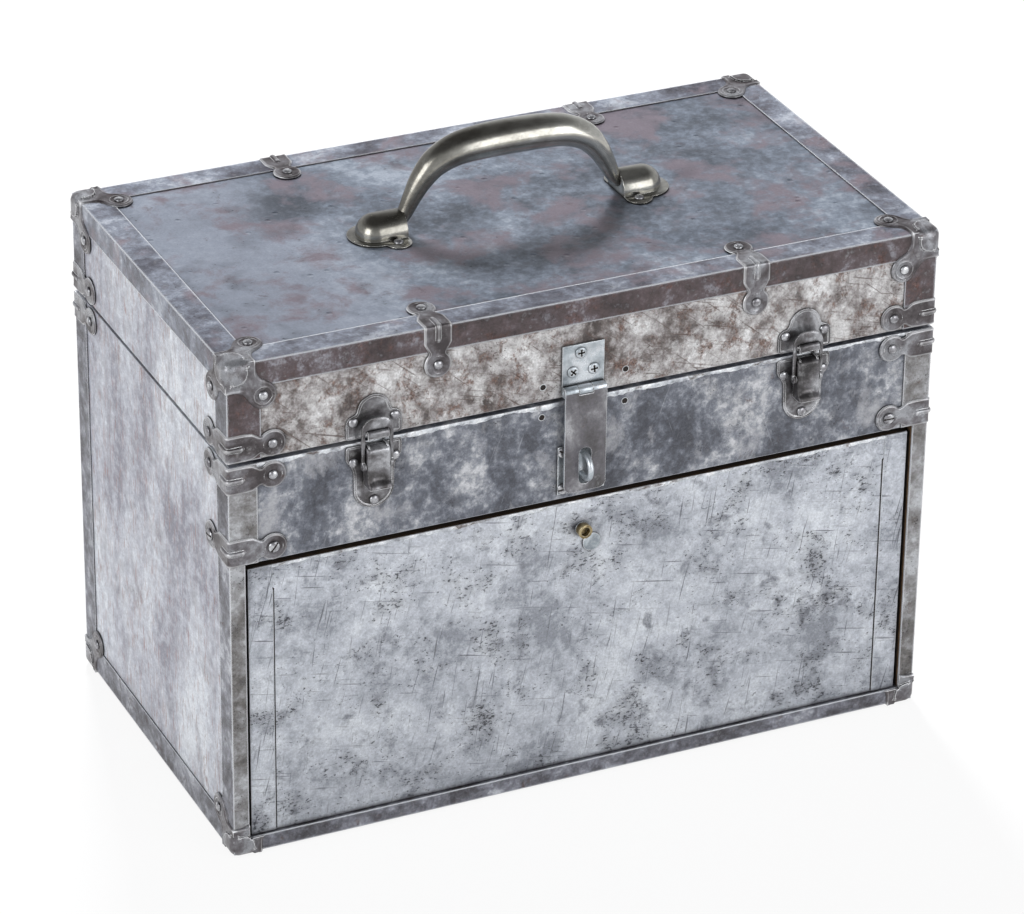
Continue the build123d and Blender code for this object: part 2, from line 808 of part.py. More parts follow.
def socket_dome(grow):
    """A half-round dome with a rounded outer end, larger or smaller by a given amount."""
    radius = socket_wide / 2 + grow
    crown = socket_tall - socket_wide / 2
    base = lid_clad_top
    end = socket_mouth + socket_long - socket_wide / 2
    start = socket_mouth - far * (1 if grow < 0 else 0)
    tube = round_bar(radius, (start, 0, base + crown), (end, 0, base + crown))
    tube += Pos(end, 0, base + crown) * Sphere(radius)
    foot = extrude(Pos(end, 0, base) * Circle(radius), crown)
    foot += block(start, end, -radius, radius, base, base + crown)
    tube += foot
    return tube - block(-far, far, -far, far, base - far, base + min(0, grow))


def socket():
    """A riveted cup on a flange, whose mouth has a bore for the grip's stub."""
    base = lid_clad_top
    end = socket_mouth + socket_long - socket_wide / 2
    flange = Pos(end, 0) * Circle(socket_wide / 2 + socket_flange)
    neck_wide = socket_wide + socket_flange
    flange += Pos((socket_mouth + end) / 2, 0) * Rectangle(end - socket_mouth, neck_wide)
    for side in (-1, 1):
        ear_x = socket_mouth + socket_ear_from_mouth
        flange += Pos(ear_x, side * socket_ear_reach) * Circle(socket_ear_radius)
    dome = socket_dome(0)
    behind_mouth = block(socket_mouth + socket_sheet, far, -far, far, base - far, far)
    cup = Pos(0, 0, base) * extrude(flange, socket_sheet) + dome
    cup -= socket_dome(-socket_sheet) & behind_mouth
    bore = handle_stub_radius + running_gap
    bore_end = (socket_mouth + 2 * socket_sheet, 0, handle_axis_z)
    return cup - round_bar(bore, (0, 0, handle_axis_z), bore_end)


def socket_fasteners():
    places = []
    for side in (-1, 1):
        ear_x = socket_mouth + socket_ear_from_mouth
        point = (ear_x, side * socket_ear_reach, lid_clad_top + socket_sheet)
        places.append(stand_on(point, (0, 0, 1)))
    return places


# Front panel
panel_x = in_x - panel_side_gap
panel_low = ledge_top + seat_gap
panel_high = till_low - panel_top_gap
panel_y = -half_d + panel_recess
panel_back_y = panel_y + panel_sheet + panel_board_thick


stud_place = Pos(stud_x, 0, stud_height)


def cover_drop():
    """From the stud to the middle of the cover's disc, across and down."""
    lean = radians(cover_lean)
    return cover_swing * sin(lean), -cover_swing * cos(lean)


def keyhole():
    """A round hole over a slot, hidden behind the swinging cover."""
    slot = Pos(0, -keyhole_slot_tall / 2) * Rectangle(keyhole_slot_wide, keyhole_slot_tall)
    hole = plate(Pos(*cover_drop()) * (Circle(keyhole_radius) + slot), FRONT_FACE, far)
    return stud_place * Pos(0, panel_back_y + seat_gap, 0) * hole


def stud_hole():
    radius = stud_radius / 2 + running_gap
    return stud_place * round_bar(radius, (0, -far, 0), (0, panel_back_y + seat_gap, 0))


def front_panel():
    sheet = block(-panel_x, panel_x, panel_y, panel_y + panel_sheet, panel_low, panel_high)
    hem_y = panel_y - panel_hem_proud
    for hem in both_sides(block(panel_x - panel_hem, panel_x, hem_y, panel_y, panel_low, panel_high)):
        sheet += hem
    board_y = panel_y + panel_sheet
    board = block(-panel_x, panel_x, board_y, panel_back_y, panel_low, panel_high)
    half = lock_wide / 2
    case = block(-half, half, panel_back_y, panel_back_y + lock_deep, -lock_tall, 0)
    return {
        "front_panel_sheet": sheet - keyhole() - stud_hole(),
        "front_panel_board": board - keyhole() - stud_hole(),
        "lock_case": stud_place * Pos(0, 0, lock_above_stud) * case,
    }


def lock_stud():
    """A hollow brass stud whose neck carries the cover."""
    neck = stud_radius / 2
    front = panel_y - cover_thick - 2 * seat_gap
    tip = panel_y - stud_proud
    stud = round_bar(neck, (0, panel_back_y, 0), (0, front, 0))
    stud += round_bar(stud_radius, (0, front, 0), (0, tip, 0))
    return stud_place * (stud - round_bar(stud_bore, (0, tip, 0), (0, front - fitting_thick, 0)))


def keyhole_cover():
    """A ring on the stud's neck with a tab and a disc that swing across the keyhole."""
    across, down = cover_drop()
    tab = Pos(across / 2, down / 2) * Rot(0, 0, cover_lean) * Rectangle(cover_tab_wide, cover_swing)
    outline = Circle(stud_radius) + tab + Pos(across, down) * Circle(cover_radius)
    cover = Pos(0, panel_y - seat_gap, 0) * plate(outline, FRONT_FACE, cover_thick)
    bore = stud_radius / 2 + running_gap
    return stud_place * (cover - round_bar(bore, (0, -far, 0), (0, far, 0)))


# Drawers run between the side boards and stand back from the panel to leave room for their pulls
drawer_x = in_x - drawer_side_gap
drawer_front_y = panel_back_y + pull_room
drawer_back_y = in_y - drawer_back_gap


def drawer_levels():
    """The lowest and highest point of each drawer, from the base upwards."""
    levels = []
    low = ledge_top + seat_gap
    for tall in drawer_heights:
        levels.append((low, low + tall))
        low += tall + drawer_step
    return levels


def drawer_tray(low, high):
    tray = block(-drawer_x, drawer_x, drawer_front_y, drawer_back_y, low, high)
    x = drawer_x - drawer_sheet
    y0 = drawer_front_y + drawer_sheet
    tray -= block(-x, x, y0, drawer_back_y - drawer_sheet, low + drawer_sheet, far)
    for side in (-1, 1):
        tray -= pull_bore(side * pull_spread / 2, (low + high) / 2)
    return tray


def pull_bore(x, z):
    radius = pull_neck_radius / 2 + running_gap
    inner_end = (x, drawer_front_y + 2 * drawer_sheet, z)
    return round_bar(radius, (x, drawer_front_y - seat_gap, z), inner_end)


def drawer_pull(x, z):
    """A turned knob whose stem passes through the drawer's front."""
    tip = drawer_front_y - pull_proud
    knob = round_bar(pull_neck_radius, (x, drawer_front_y, z), (x, tip + pull_head_thick / 2, z))
    knob += round_bar(pull_radius, (x, tip + pull_head_thick, z), (x, tip, z))
    stem_end = drawer_front_y + 2 * drawer_sheet
    return knob + round_bar(pull_neck_radius / 2, (x, drawer_front_y, z), (x, stem_end, z))


def drawer_runners():
    """Strips on the side boards under the middle and top drawers."""
    strips = []
    for low, high in drawer_levels()[1:]:
        z1 = low - seat_gap
        strip = block(in_x - runner_wide, in_x, drawer_front_y, in_y, z1 - runner_thick, z1)
        strips += both_sides(strip)
    return strips


# Fasteners of the body and of the lid
def on_corners(places, height, corners):
    return [corner_place(corner, height) * place for corner in corners for place in places]


upper_clamp_z = rim - strap_tall / 2
lower_clamp_z = till_low + strap_tall / 2
lid_clamp_z = lid_low + strap_tall / 2
front_corners = [corner for corner in CORNERS if corner[1] < 0]

body_rivets = on_corners(strap_fasteners(corner_reach), upper_clamp_z, CORNERS)
body_rivets += bottom_cap_fasteners()
body_rivets += [at * spot for at in latch_places() for spot in base_fasteners()]
flip = Location((0, 0, 0), (0, 180, 0))
body_rivets += [at * flip * spot for at in rear_hinge_places() for spot in rear_leaf_fasteners()]
body_screws = on_corners(strap_fasteners(corner_reach), lower_clamp_z, front_corners)
staple_screws = staple_fasteners()

lid_rivets = on_corners(strap_fasteners(corner_reach), lid_clamp_z, CORNERS)
lid_rivets += on_corners(cap_fasteners(), lid_top, CORNERS)
lid_rivets += [at * spot for at in edge_clamp_places() for spot in strap_fasteners(edge_reach)]
lid_rivets += [at * spot for at in latch_places() for spot in strike_fasteners()]
lid_rivets += [at * spot for at in rear_hinge_places() for spot in rear_leaf_fasteners()]
handle_place = Location((lid_hardware_shift, 0, 0))
handle_other = handle_place * Location((0, 0, 0), (0, 0, 180))
lid_rivets += [at * spot for at in (handle_place, handle_other) for spot in socket_fasteners()]
lid_screws = hasp_fasteners()

body_fasteners = body_rivets + body_screws + staple_screws
lid_fasteners = lid_rivets + lid_screws

clamp = strap_fitting(corner_reach)
edge_clamp = strap_fitting(edge_reach)

body_pieces = dict(body_boards())
body_pieces["body_cladding"] = body_cladding()
body_pieces["till_front_cladding"] = till_front_cladding()
body_pieces["bottom_front_trim"] = bottom_front_trim()
body_pieces["bottom_rear_trim"] = bottom_rear_trim()
body_pieces["bottom_side_trims"] = both_sides(bottom_side_trim())
body_pieces["front_corner_trims"] = both_sides(front_corner_trim())
body_pieces["rear_corner_trims"] = both_sides(rear_corner_trim())
body_pieces["bottom_corner_caps"] = bottom_caps()
body_pieces["body_upper_clamps"] = [corner_place(c, upper_clamp_z) * clamp for c in CORNERS]
body_pieces["body_lower_clamps"] = [corner_place(c, lower_clamp_z) * clamp for c in front_corners]
body_pieces["latch_base_plates"] = placed(base_plate(), latch_places())
body_pieces["hasp_staple"] = hasp_staple()

lid_pieces = dict(lid_boards())
lid_pieces["lid_top_cladding"] = block(-clad_x, clad_x, -clad_y, clad_y, lid_wood_top, lid_clad_top)
lid_pieces["lid_band_cladding"] = lid_band_cladding()
lid_pieces["lid_long_trims"] = [lid_long_trim(), mirror(lid_long_trim(), Plane.XZ)]
lid_pieces["lid_end_trims"] = both_sides(lid_end_trim())
lid_pieces["lid_corner_trims"] = both_sides(lid_corner_trim(-1)) + both_sides(lid_corner_trim(1))
lid_pieces["lid_corner_caps"] = [corner_place(c, lid_top) * corner_cap() for c in CORNERS]
lid_pieces["lid_corner_clamps"] = [corner_place(c, lid_clamp_z) * clamp for c in CORNERS]
lid_pieces["lid_edge_clamps"] = placed(edge_clamp, edge_clamp_places())
lid_pieces["latch_strike_plates"] = placed(strike_plate(), latch_places())
lid_pieces["hasp_leaf"] = hasp_leaf()
lid_pieces["handle_sockets"] = placed(socket(), (handle_place, handle_other))

parts = {}
for pieces, fasteners in ((body_pieces, body_fasteners), (lid_pieces, lid_fasteners)):
    for name, shape in pieces.items():
        solids = shape if isinstance(shape, list) else [shape]
        parts[name] = [drilled(solid, fasteners) for solid in solids]

hinge_parts = rear_hinges()
latch_left, latch_right = latch_places()
loose_parts = {
    "body_rivets": placed(rivet(), body_rivets),
    "body_screws": placed(screw([35]), body_screws) + placed(screw([0]), staple_screws),
    "lid_rivets": placed(rivet(), lid_rivets),
    "hasp_screws": placed(screw([40, 130]), lid_screws),
    "hasp_pin": hasp_pin(),
    "hasp_strap": hasp_strap(),
    "latch_pivot_pins": placed(latch_pin(), latch_places()),
    "latch_lever_left": latch_left * lever(),
    "latch_lever_right": latch_right * lever(),
    "latch_loop_left": latch_left * loop(),
    "latch_loop_right": latch_right * loop(),
    "handle_grip": handle_place * handle_grip(),
    "lock_stud": lock_stud(),
    "keyhole_cover": keyhole_cover(),
    "drawer_runners": drawer_runners(),
}
parts.update(hinge_parts)
parts.update(front_panel())
parts.update(loose_parts)
for drawer, (low, high) in zip(drawer_names, drawer_levels()):
    parts[drawer + "_drawer"] = drawer_tray(low, high)
    middle = (low + high) / 2
    knobs = [drawer_pull(side * pull_spread / 2, middle) for side in (-1, 1)]
    parts[drawer + "_drawer_pulls"] = knobs

os.makedirs("parts", exist_ok=True)
for name, shape in parts.items():
    solids = shape if isinstance(shape, list) else [shape]
    flat = [Pos(0, footprint_shift, 0) * solid for piece in solids for solid in piece.solids()]
    export_step(Compound(children=flat) if len(flat) > 1 else flat[0], "parts/" + name + ".step")
print(len(parts), "nodes")
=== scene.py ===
import json
from math import cos, pi, radians, sin, sqrt

import bmesh
import bpy
from mathutils import Matrix, Vector, noise


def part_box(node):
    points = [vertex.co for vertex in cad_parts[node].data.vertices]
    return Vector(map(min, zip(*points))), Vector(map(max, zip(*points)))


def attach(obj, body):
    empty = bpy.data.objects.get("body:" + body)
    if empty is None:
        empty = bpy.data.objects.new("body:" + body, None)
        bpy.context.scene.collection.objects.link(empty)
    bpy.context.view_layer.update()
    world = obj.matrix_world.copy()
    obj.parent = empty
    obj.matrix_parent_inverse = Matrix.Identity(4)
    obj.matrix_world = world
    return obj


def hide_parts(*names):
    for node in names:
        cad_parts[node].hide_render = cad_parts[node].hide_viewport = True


bl_info = {
    "name": "Steel tool chest",
    "version": (1, 0, 0),
    "blender": (4, 5, 0),
    "location": "View3D > Sidebar > Tool chest",
    "description": "Stamped fittings, latches, handle and worn steel of a tool chest",
    "category": "Object",
}

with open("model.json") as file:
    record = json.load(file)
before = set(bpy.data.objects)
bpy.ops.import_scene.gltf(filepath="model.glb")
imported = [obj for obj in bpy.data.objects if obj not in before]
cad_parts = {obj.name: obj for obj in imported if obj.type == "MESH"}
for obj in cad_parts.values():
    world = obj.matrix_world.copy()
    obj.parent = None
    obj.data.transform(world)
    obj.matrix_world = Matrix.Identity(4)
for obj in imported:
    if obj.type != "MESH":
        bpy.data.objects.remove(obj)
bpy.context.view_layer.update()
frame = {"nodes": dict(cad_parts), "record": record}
NODES = frame["nodes"]
RECORD = frame["record"]
BODY_OF = {node: body for body, members in RECORD["behaviour"]["bodies"].items() for node in members}
SLOT_OF = {entry["node"]: entry["material_slot"] for entry in RECORD["subparts"]}
MM = 0.001


def low_high(node):
    """The two far corners of a node, in millimetres."""
    low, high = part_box(node)
    return low / MM, high / MM


# Levels and faces of the chest, read from its solids, in millimetres
TRIM_LOW, TRIM_HIGH = low_high("lid_long_trims")
SHEET_LOW = low_high("lid_band_cladding")[0]
TILL_LOW, TILL_HIGH = low_high("till_front_cladding")
PANEL_LOW, PANEL_HIGH = low_high("front_panel_sheet")
FLOOR = low_high("bottom_front_trim")[0].z
HALF_W = TRIM_HIGH.x
FRONT = TRIM_LOW.y
BACK = TRIM_HIGH.y
LID_TOP = TRIM_HIGH.z
LID_LOW = SHEET_LOW.z
RIM = TILL_HIGH.z
SHEET_FRONT = SHEET_LOW.y
CASE_MIDDLE = (FRONT + BACK) / 2
CASE_DEEP = BACK - FRONT
# A face looks one way when its normal has more than this share of that way
FACING = 0.9
# Points nearer than this are one, in millimetres
SAME_POINT = 0.002


# Meshes
def new_piece(name, body, mesh, material, nodes=(), smooth_angle=40):
    """A finished piece at the origin, riding on its body and standing for its solids."""
    piece = bpy.data.objects.new(name, mesh)
    bpy.context.scene.collection.objects.link(piece)
    mesh.materials.clear()
    mesh.materials.append(material)
    smooth_by_angle(mesh, smooth_angle)
    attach(piece, body)
    if nodes:
        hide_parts(*nodes)
    return piece


def smooth_by_angle(mesh, angle):
    """Smooth faces, with the edges past this angle kept sharp."""
    form = bmesh.new()
    form.from_mesh(mesh)
    for face in form.faces:
        face.smooth = True
    for edge in form.edges:
        edge.smooth = len(edge.link_faces) == 2 and edge.calc_face_angle(0) < radians(angle)
    form.to_mesh(mesh)
    form.free()


def mesh_of(form, name):
    """Turns a bmesh drawn in millimetres into a mesh in metres with its faces outwards."""
    bmesh.ops.recalc_face_normals(form, faces=form.faces)
    bmesh.ops.scale(form, vec=(MM, MM, MM), verts=form.verts)
    mesh = bpy.data.meshes.new(name)
    form.to_mesh(mesh)
    form.free()
    return mesh


def joined(forms, name):
    """One mesh from several closed bmesh forms in millimetres."""
    whole = bmesh.new()
    for form in forms:
        bmesh.ops.recalc_face_normals(form, faces=form.faces)
        part = bpy.data.meshes.new(name)
        form.to_mesh(part)
        form.free()
        whole.from_mesh(part)
        bpy.data.meshes.remove(part)
    bmesh.ops.scale(whole, vec=(MM, MM, MM), verts=whole.verts)
    mesh = bpy.data.meshes.new(name)
    whole.to_mesh(mesh)
    whole.free()
    return mesh


def moved(form, matrix):
    """A copy of a form at another place."""
    copy = form.copy()
    bmesh.ops.transform(copy, matrix=matrix, verts=copy.verts)
    return copy


def at(x, y, z):
    return Matrix.Translation((x, y, z))


def turned(degrees, axis):
    return Matrix.Rotation(radians(degrees), 4, axis)


def grid_form(rows, closed_rows=False):
    """Quads through rows of points, closed at both ends, with a floor under rows that are open."""
    form = bmesh.new()
    grid = [[form.verts.new(point) for point in row] for row in rows]
    wide = len(grid[0])
    for upper, lower in zip(grid, grid[1:]):
        for k in range(wide if closed_rows else wide - 1):
            form.faces.new((upper[k], upper[(k + 1) % wide], lower[(k + 1) % wide], lower[k]))
        if not closed_rows:
            form.faces.new((upper[0], lower[0], lower[-1], upper[-1]))
    form.faces.new(grid[0])
    form.faces.new(list(reversed(grid[-1])))
    bmesh.ops.remove_doubles(form, verts=form.verts, dist=SAME_POINT)
    return form


def slab(outline, thick, bevel, rim=0.0, sink=0.0):
    """A plate from an outline in its own X and Z, its back at y = 0 and its front at y = -thick."""
    form = bmesh.new()
    back = [form.verts.new((x, 0, z)) for x, z in outline]
    face = form.faces.new(back)
    front = bmesh.ops.extrude_face_region(form, geom=[face])["geom"]
    bmesh.ops.translate(
        form, vec=(0, -thick, 0), verts=[v for v in front if isinstance(v, bmesh.types.BMVert)]
    )
    bmesh.ops.recalc_face_normals(form, faces=form.faces)
    top = [f for f in form.faces if f.normal.y < -FACING]
    edges = [e for f in top for e in f.edges]
    bmesh.ops.bevel(form, geom=edges, offset=bevel, segments=3, profile=0.5, affect="EDGES")
    if rim:
        top = [f for f in form.faces if f.normal.y < -0.999 and f.calc_area() > rim * rim * 4]
        bmesh.ops.inset_region(form, faces=top, thickness=rim, depth=0, use_even_offset=True)
        bmesh.ops.inset_region(form, faces=top, thickness=sink, depth=-sink, use_even_offset=True)
    return form


def arc(cx, cz, radius, start, end, steps):
    """Points on an arc in X and Z, from one angle to another."""
    return [
        (cx + radius * cos(radians(start + (end - start) * k / steps)),
         cz + radius * sin(radians(start + (end - start) * k / steps)))
        for k in range(steps + 1)
    ]


def rounded_copy(node, ease):
    """The node's own shape with its doubles merged and its sharp edges eased, in metres."""
    form = bmesh.new()
    form.from_mesh(NODES[node].data)
    bmesh.ops.remove_doubles(form, verts=form.verts, dist=SAME_POINT * MM)
    bmesh.ops.dissolve_limit(
        form, angle_limit=radians(0.4), verts=form.verts, edges=form.edges, delimit={"NORMAL"}
    )
    sharp = [e for e in form.edges if len(e.link_faces) == 2 and e.calc_face_angle(0) > radians(50)]
    bmesh.ops.bevel(
        form, geom=sharp, offset=ease * MM, segments=2, profile=0.5, affect="EDGES", clamp_overlap=True
    )
    mesh = bpy.data.meshes.new(node + "_mesh")
    form.to_mesh(mesh)
    form.free()
    return mesh


def islands(node):
    """The points of each separate solid of a node, in millimetres."""
    form = bmesh.new()
    form.from_mesh(NODES[node].data)
    bmesh.ops.remove_doubles(form, verts=form.verts, dist=SAME_POINT * MM)
    form.verts.ensure_lookup_table()
    seen, found = set(), []
    for start in form.verts:
        if start.index in seen:
            continue
        stack, points = [start], []
        seen.add(start.index)
        while stack:
            vert = stack.pop()
            points.append(vert.co / MM)
            for edge in vert.link_edges:
                other = edge.other_vert(vert)
                if other.index not in seen:
                    seen.add(other.index)
                    stack.append(other)
        found.append(points)
    form.free()
    return found


def seats(node):
    """Where each fastener's head sits, and the way that it points."""
    places = []
    for points in islands(node):
        low = Vector([min(p[k] for p in points) for k in range(3)])
        high = Vector([max(p[k] for p in points) for k in range(3)])
        size = high - low
        axis = max(range(3), key=lambda k: size[k])
        middle = (low + high) / 2
        spread = max(max(abs(p[k] - middle[k]) for k in range(3) if k != axis) for p in points)
        rim = [p for p in points if max(abs(p[k] - middle[k]) for k in range(3) if k != axis) > spread * 0.95]
        head = sum(p[axis] for p in rim) / len(rim)
        sign = 1 if head > middle[axis] else -1
        seat = middle.copy()
        seat[axis] = min((p[axis] for p in rim), key=lambda v: sign * v)
        normal = Vector((0, 0, 0))
        normal[axis] = sign
        places.append((seat, normal))
    return places


# Nodes of materials and of shapes
def add(tree, kind, sockets=None, stops=None, **settings):
    """Adds a node with its settings, its colour stops, and its values or links."""
    node = tree.nodes.new(kind)
    for key, value in settings.items():
        setattr(node, key, value)
    if stops:
        while len(node.color_ramp.elements) < len(stops):
            node.color_ramp.elements.new(0.5)
        for element, (place, colour) in zip(node.color_ramp.elements, stops):
            element.position = place
            element.color = linear(colour) if isinstance(colour, str) else (colour, colour, colour, 1)
    for key, value in (sockets or {}).items():
        if isinstance(value, bpy.types.NodeSocket):
            tree.links.new(value, node.inputs[key])
        elif isinstance(value, str) and value.startswith("#"):
            node.inputs[key].default_value = linear(value)
        else:
            node.inputs[key].default_value = value
    return node


def linear(text):
    """An sRGB hex colour as linear values."""
    values = [int(text[k:k + 2], 16) / 255 for k in (1, 3, 5)]
    return tuple(v / 12.92 if v <= 0.04045 else ((v + 0.055) / 1.055) ** 2.4 for v in values) + (1.0,)


def per_mm(size):
    """The scale of a pattern whose features are this many millimetres across."""
    return 1 / (size * MM)


def bare_material(name):
    """A new material with an empty tree."""
    material = bpy.data.materials.new(name)
    material.use_nodes = True
    material.node_tree.nodes.clear()
    return material, material.node_tree


# What the worn steel's layers share, in millimetres: grit and mottle of the surface, smudges round the pits,
# swells and dings of the sheet, hair scratches, and how far the painted shade and dirt reach out of a corner.
# The grit and the scratches are coarser than real ones, so that they show. A tuple for worn_steel holds, in
# order:
#   patch: tone, size in mm, low and high end in the noise
#   rust: tone, deep tone, size in mm, low and high end
#   speck: tone, size in mm, low and high end, how long, how gathered
#   scratch: tone, turns in degrees, low and high end
#   edge: tone and strength of the bright edges, painted as worn bare metal and as highlights
#   painted_reflection_end: tone, start and stop along X in mm, of a painted reflection that pales one end
#   rough: roughness where the steel is pale, and where it is dark
GRIT_MM, MOTTLE_MM, SMUDGE_MM, SWELL_MM, DING_MM, SCRATCH_MM, CORNER_MM = 1.5, 7, 24, 38, 19, 1.6, 3.2
SCRATCH_LONG = 26.0
# The tone of the painted shade and dirt in corners and creases
CORNER_SHADE_AND_DIRT = "#1C1817"
CLOUD_STOPS = (0.37, 0.44, 0.50, 0.56, 0.63)
UNMOVED = (0, 0, 0)


def worn_steel(name, tones, cloud_mm=45, stretch=(1, 1, 1), rust=None, patch=None, speck=None, scratch=None,
               edge=None, rough=(0.34, 0.55), metallic=0.4, dent=0.25, grain=0.12, edge_mm=0.8, shade_and_dirt=0.75,
               grit=0.22, dings=0.0, mottling=0.38, ridges=False, painted_reflection_end=None):
    """Steel in five tones with rust, pits and scratches, with painted highlights and wear on its edges and
    painted shade and dirt in its corners.
    """
    material, tree = bare_material(name)
    place = add(tree, "ShaderNodeTexCoord").outputs["Object"]
    drawn = add(tree, "ShaderNodeMapping", {"Vector": place, "Scale": stretch}).outputs[0]
    # Each field of noise: where it is read, its size in millimetres, detail, roughness, distortion and shift
    kinds = {
        "cloud": (drawn, cloud_mm, 10.0, 0.62, 0.25, UNMOVED),
        "mottle": (place, MOTTLE_MM, 8.0, 0.72, 0.0, UNMOVED),
        "grit": (place, GRIT_MM, 4.0, 0.7, 0.0, UNMOVED),
        "swell": (place, SWELL_MM, 2.0, 0.5, 0.0, UNMOVED),
    }
    if patch:
        kinds["patch"] = (drawn, patch[1], 10.0, 0.66, 0.3, (0.53, 0.29, 0.41))
    if rust:
        kinds["rust"] = (drawn, rust[2], 12.0, 0.76, 0.2, (0.31, 0.17, 0.23))
    if speck:
        drift = add(
            tree, "ShaderNodeMapping", {"Vector": place, "Scale": (1 / speck[4], 1.0, 1.0)}
        ).outputs[0]
        kinds["dots"] = (drift, speck[1], 4.0, 0.66, 0.0, UNMOVED)
        kinds["smudge"] = (place, SMUDGE_MM, 5.0, 0.6, 0.0, UNMOVED)
    for number, turn in enumerate(scratch[1] if scratch else ()):
        lay = add(tree, "ShaderNodeMapping", {
            "Vector": place, "Rotation": tuple(radians(angle) for angle in turn),
            "Scale": (SCRATCH_LONG, 1.0, 1.0),
            "Location": (0.17 * number, 0.0, 0.11 * number),
        }, vector_type="TEXTURE").outputs[0]
        kinds["scratch", number] = (lay, SCRATCH_MM, 2.0, 0.5, 0.0, UNMOVED)
    field = {}
    for kind, (where, size, detail, roughness, distortion, shift) in kinds.items():
        far = add(tree, "ShaderNodeMapping", {"Vector": where, "Location": shift}).outputs[0]
        field[kind] = add(tree, "ShaderNodeTexNoise", {
            "Vector": far, "Scale": per_mm(size), "Detail": detail, "Roughness": roughness,
            "Distortion": distortion,
        }).outputs["Fac"]
    blend = add(tree, "ShaderNodeMix", {
        0: mottling, 2: field["cloud"], 3: field["mottle"],
    }, data_type="FLOAT").outputs[0]
    level = add(tree, "ShaderNodeMath", {0: blend, 1: 1.35, 2: -0.175}, operation="MULTIPLY_ADD").outputs[0]
    colour = add(
        tree, "ShaderNodeValToRGB", {"Fac": level}, stops=list(zip(CLOUD_STOPS, tones))
    ).outputs["Color"]
    # Each stain, the oldest first: the field that it follows, its two ends there, its strength and its tone
    stains = {}
    # Painted reflection: one end of the sheet paler along X, where the top mirrors the bright sky
    if painted_reflection_end:
        tone, start, stop = painted_reflection_end
        across = add(tree, "ShaderNodeSeparateXYZ", {0: place}).outputs["X"]
        ragged = add(tree, "ShaderNodeMath", {
            0: field["cloud"], 1: -0.16, 2: across,
        }, operation="MULTIPLY_ADD").outputs[0]
        stains["painted reflection"] = (ragged, start * MM, stop * MM, 0.75, tone)
    if patch:
        tone, _, low, high = patch
        stains["patch"] = (field["patch"], low, high, 1.0, tone)
    if rust:
        tone, deep, _, low, high = rust
        flakes = add(tree, "ShaderNodeValToRGB", {"Fac": field["grit"]}, stops=[(0.38, deep), (0.62, tone)])
        stains["rust"] = (field["rust"], low, high, 0.9, flakes.outputs["Color"])
    if speck:
        tone, _, low, high, _, gather = speck
        gathered = add(tree, "ShaderNodeMath", {
            0: field["smudge"], 1: gather, 2: field["dots"],
        }, operation="MULTIPLY_ADD").outputs[0]
        stains["smudge"] = (field["smudge"], 0.53, 0.72, 0.42, tone)
        stains["pits"] = (gathered, low, high, 0.9, tone)
    if scratch:
        tone, turns, low, high = scratch
        for number in range(len(turns)):
            stains["scratch", number] = (field["scratch", number], low, high, 0.75, tone)
    masks = {}
    for kind, (value, low, high, strength, tone) in stains.items():
        masks[kind] = add(tree, "ShaderNodeMapRange", {
            "Value": value, "From Min": low, "From Max": high, "To Max": strength,
        }).outputs[0]
        colour = add(tree, "ShaderNodeMix", {0: masks[kind], 6: colour, 7: tone}, data_type="RGBA").outputs[2]
    shade = add(tree, "ShaderNodeMapRange", {
        "Value": field["grit"], "From Min": 0.3, "From Max": 0.7, "To Min": 1 - grit, "To Max": 1 + grit,
    }).outputs[0]
    colour = add(tree, "ShaderNodeVectorMath", {0: colour, "Scale": shade}, operation="SCALE").outputs[0]
    # Painted shade and dirt in corners and beside ridges; painted highlights and bare metal on worn edges and
    # crests
    geometry = add(tree, "ShaderNodeNewGeometry").outputs
    eased = add(tree, "ShaderNodeBevel", {"Radius": edge_mm * MM}, samples=6).outputs[0]
    corner = add(tree, "ShaderNodeAmbientOcclusion", {"Distance": CORNER_MM * MM}, samples=6).outputs["AO"]
    shade_and_dirt_masks = [(corner, 0.42, 0.93, shade_and_dirt)]
    if ridges:
        shade_and_dirt_masks.append((geometry["Pointiness"], 0.40, 0.47, 0.85))
    for value, low, high, strength in shade_and_dirt_masks:
        mask = add(tree, "ShaderNodeMapRange", {
            "Value": value, "From Min": low, "From Max": high, "To Min": strength, "To Max": 0.0,
        }).outputs[0]
        colour = add(tree, "ShaderNodeMix", {0: mask, 6: colour, 7: CORNER_SHADE_AND_DIRT}, data_type="RGBA").outputs[2]
    # Painted highlights and worn bare metal on edges and crests, kept out of the painted corner shade
    if edge:
        tone, strength = edge
        facing = add(tree, "ShaderNodeVectorMath", {
            0: geometry["Normal"], 1: eased,
        }, operation="DOT_PRODUCT").outputs["Value"]
        ragged = add(tree, "ShaderNodeMath", {
            0: field["mottle"], 1: 0.10, 2: facing,
        }, operation="MULTIPLY_ADD").outputs[0]
        wear_and_highlight = add(tree, "ShaderNodeMapRange", {
            "Value": ragged, "From Min": 0.985, "From Max": 1.043, "To Min": strength, "To Max": 0.0,
        }).outputs[0]
        if ridges:
            crest = add(tree, "ShaderNodeMapRange", {
                "Value": geometry["Pointiness"], "From Min": 0.514, "From Max": 0.575, "To Max": strength,
            }).outputs[0]
            wear_and_highlight = add(tree, "ShaderNodeMath", {0: wear_and_highlight, 1: crest}, operation="MAXIMUM").outputs[0]
        unshaded = add(tree, "ShaderNodeMapRange", {"Value": corner, "From Min": 0.5, "From Max": 0.8}).outputs[0]
        mask = add(tree, "ShaderNodeMath", {0: wear_and_highlight, 1: unshaded}, operation="MULTIPLY").outputs[0]
        colour = add(tree, "ShaderNodeMix", {0: mask, 6: colour, 7: tone}, data_type="RGBA").outputs[2]
